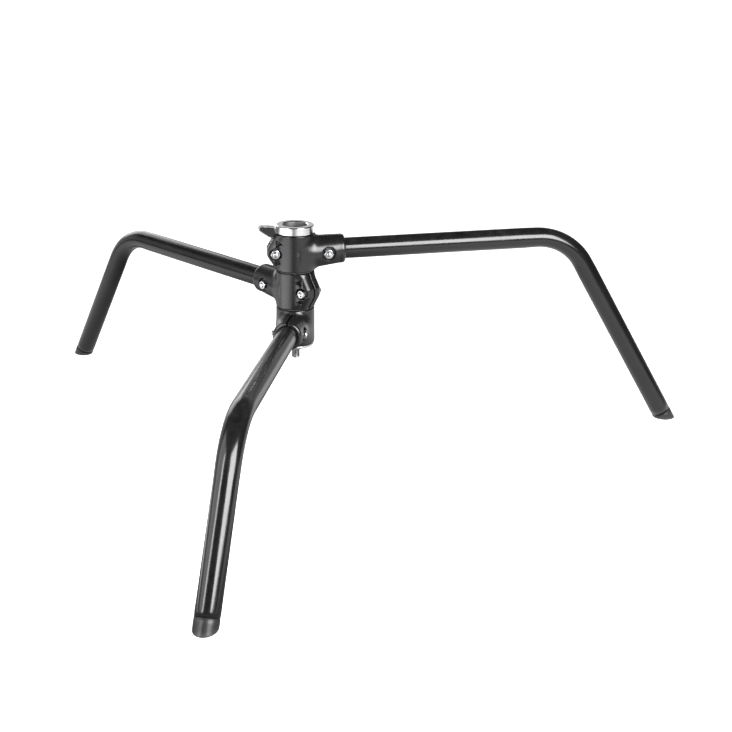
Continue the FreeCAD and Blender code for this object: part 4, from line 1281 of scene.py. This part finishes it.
def soft_box(name, turn, height, reach, width, tall, power):
    """A rectangular light, turn degrees to the right of the camera and height degrees up, aimed at the
    hub."""
    front = math.atan2(CAMERA_PLACE.y, CAMERA_PLACE.x) + math.radians(turn)
    up = math.radians(height)
    offset = Vector((math.cos(front) * math.cos(up), math.sin(front) * math.cos(up), math.sin(up))) * reach
    light = bpy.data.lights.new(name, "AREA")
    light.shape = "RECTANGLE"
    light.size = width
    light.size_y = tall
    light.energy = power
    lamp = bpy.data.objects.new(name, light)
    lamp.matrix_world = Matrix.Translation(AIM + offset) @ offset.to_track_quat("Z", "Y").to_matrix().to_4x4()
    lamp.visible_camera = False
    bpy.context.scene.collection.objects.link(lamp)


def paint_world(studio):
    """White behind the object. What the object reflects is a dim room with brighter walls low down at the
    back: surround + low band * fall of the height * rise of the direction's share away from the camera."""
    away = (-0.35, 0.94, 0.0)
    world = bpy.data.worlds.new("studio")
    bpy.context.scene.world = world
    world.use_nodes = True
    tree = world.node_tree
    direction = add_node(tree, "ShaderNodeTexCoord").outputs["Generated"]
    behind = ramp(tree, vector_maths(tree, "DOT_PRODUCT", "Value", direction, away), 0.15, 0.7)
    low = ramp(tree, parts_of(tree, direction)["Z"], 0.5, 0.32)
    room = maths(tree, "MULTIPLY_ADD", maths(tree, "MULTIPLY", behind, low), studio.low_band, studio.surround)
    seen = add_node(tree, "ShaderNodeLightPath").outputs["Is Camera Ray"]
    shader = next(n for n in tree.nodes if n.type == "BACKGROUND")
    fill(tree, shader, Color=grey(1.0),
         Strength=maths(tree, "MAXIMUM", room, maths(tree, "MULTIPLY", seen, 1.05)))


def pale_floor(studio):
    """A wide white floor at the feet. The camera sees it evenly white; the object sees it glow to the
    left and right of the camera's line, with a dim gap between: left * rise of -s + right * rise of s,
    where s is the distance to the right of that line, weaker on the left behind the object, and bright
    again far behind it."""
    signs = ((-1, -1), (1, -1), (1, 1), (-1, 1))
    corners = [(x * FLOOR_HALF, y * FLOOR_HALF, floor_height()) for x, y in signs]
    mesh = bpy.data.meshes.new("studio_floor")
    mesh.from_pydata(corners, [], [(0, 1, 2, 3)])
    floor = bpy.data.objects.new("studio_floor", mesh)
    bpy.context.scene.collection.objects.link(floor)
    tree, shader = start_material("studio_floor_white", Roughness=0.9, Specular_IOR_Level=0.0)
    place = position(tree)
    rightwards = (math.cos(studio.yaw), -math.sin(studio.yaw), 0.0)
    towards = (-math.sin(studio.yaw), -math.cos(studio.yaw), 0.0)
    across = vector_maths(tree, "DOT_PRODUCT", "Value", place, rightwards)
    before = vector_maths(tree, "DOT_PRODUCT", "Value", place, towards)
    far = vector_maths(tree, "LENGTH", "Value", place)
    left = maths(tree, "MULTIPLY", ramp(tree, across, -0.16, -0.46), studio.floor_left)
    left = maths(tree, "MULTIPLY", left, ramp(tree, before, -0.05, 0.15, 0.25, 1.0))
    right = maths(tree, "MULTIPLY", ramp(tree, across, 0.09, 0.24), studio.floor_right)
    sides = maths(tree, "ADD", left, right)
    light = maths(tree, "MULTIPLY_ADD", sides, ramp(tree, far, 1.5, 1.0), ramp(tree, before, -0.6, -1.2))
    seen = add_node(tree, "ShaderNodeLightPath").outputs["Is Camera Ray"]
    fill(tree, shader, Base_Color=mix_colour(tree, seen, grey(0.2), grey(0.85)), Emission_Color=grey(1.0),
         Emission_Strength=between(tree, seen, light, 0.97))
    mesh.materials.append(bpy.data.materials["studio_floor_white"])


class STAND_OT_stage(bpy.types.Operator):
    """Set up the floor, the light and the camera"""

    bl_idname = "stand.stage"
    bl_label = "Stage"

    def execute(self, context):
        scene = context.scene
        studio = scene.stand_studio
        pale_floor(studio)
        paint_world(studio)
        soft_box("key_light", 36.0, 25.0, 1.7, 1.15, 0.95, studio.key_power)
        soft_box("fill_light", -66.0, 26.0, 1.7, 1.7, 1.3, studio.fill_power)
        soft_box("strip_light", -40.0, 20.0, 1.7, 0.28, 1.1, studio.strip_power)
        soft_box("rim_light", -153.0, 22.0, 1.9, 1.1, 1.0, studio.rim_power)
        lens = bpy.data.cameras.new("camera")
        lens.lens = studio.lens
        lens.sensor_width = 36.0
        lens.clip_start = 0.05
        camera = bpy.data.objects.new("camera", lens)
        camera.matrix_world = (Matrix.Translation(CAMERA_PLACE) @ Matrix.Rotation(-studio.yaw, 4, "Z")
                               @ Matrix.Rotation(math.pi / 2 - studio.pitch, 4, "X")
                               @ Matrix.Rotation(studio.tilt, 4, "Z"))
        scene.collection.objects.link(camera)
        scene.camera = camera
        scene.view_settings.view_transform = "Standard"
        return {"FINISHED"}


class STAND_PT_panel(bpy.types.Panel):
    """Lists the steps that build the stand"""

    bl_label = "Stand Base"
    bl_idname = "STAND_PT_panel"
    bl_space_type = "VIEW_3D"
    bl_region_type = "UI"
    bl_category = "Stand Base"

    def draw(self, context):
        for step in STEPS:
            self.layout.operator(step.bl_idname)


GROUPS = {
    "stand_legs": LegSizes,
    "stand_collars": CollarSizes,
    "stand_fasteners": FastenerSizes,
    "stand_hub": HubSizes,
    "stand_colours": FinishColours,
    "stand_studio": StudioSettings,
}
STEPS = (STAND_OT_legs, STAND_OT_foot_caps, STAND_OT_collars, STAND_OT_fasteners, STAND_OT_hub,
         STAND_OT_lever, STAND_OT_small_finishes, STAND_OT_stage)


def register():
    for item in (*GROUPS.values(), *STEPS, STAND_PT_panel):
        bpy.utils.register_class(item)
    for name, group in GROUPS.items():
        setattr(bpy.types.Scene, name, PointerProperty(type=group))


def unregister():
    for name in GROUPS:
        delattr(bpy.types.Scene, name)
    for item in (STAND_PT_panel, *reversed(STEPS), *reversed(GROUPS.values())):
        bpy.utils.unregister_class(item)


def main():
    """Registers the add-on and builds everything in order."""
    register()
    bpy.ops.stand.legs()
    bpy.ops.stand.foot_caps()
    bpy.ops.stand.collars()
    bpy.ops.stand.fasteners()
    bpy.ops.stand.hub()
    bpy.ops.stand.lever()
    bpy.ops.stand.small_finishes()
    bpy.ops.stand.stage()


if __name__ == "__main__":
    main()
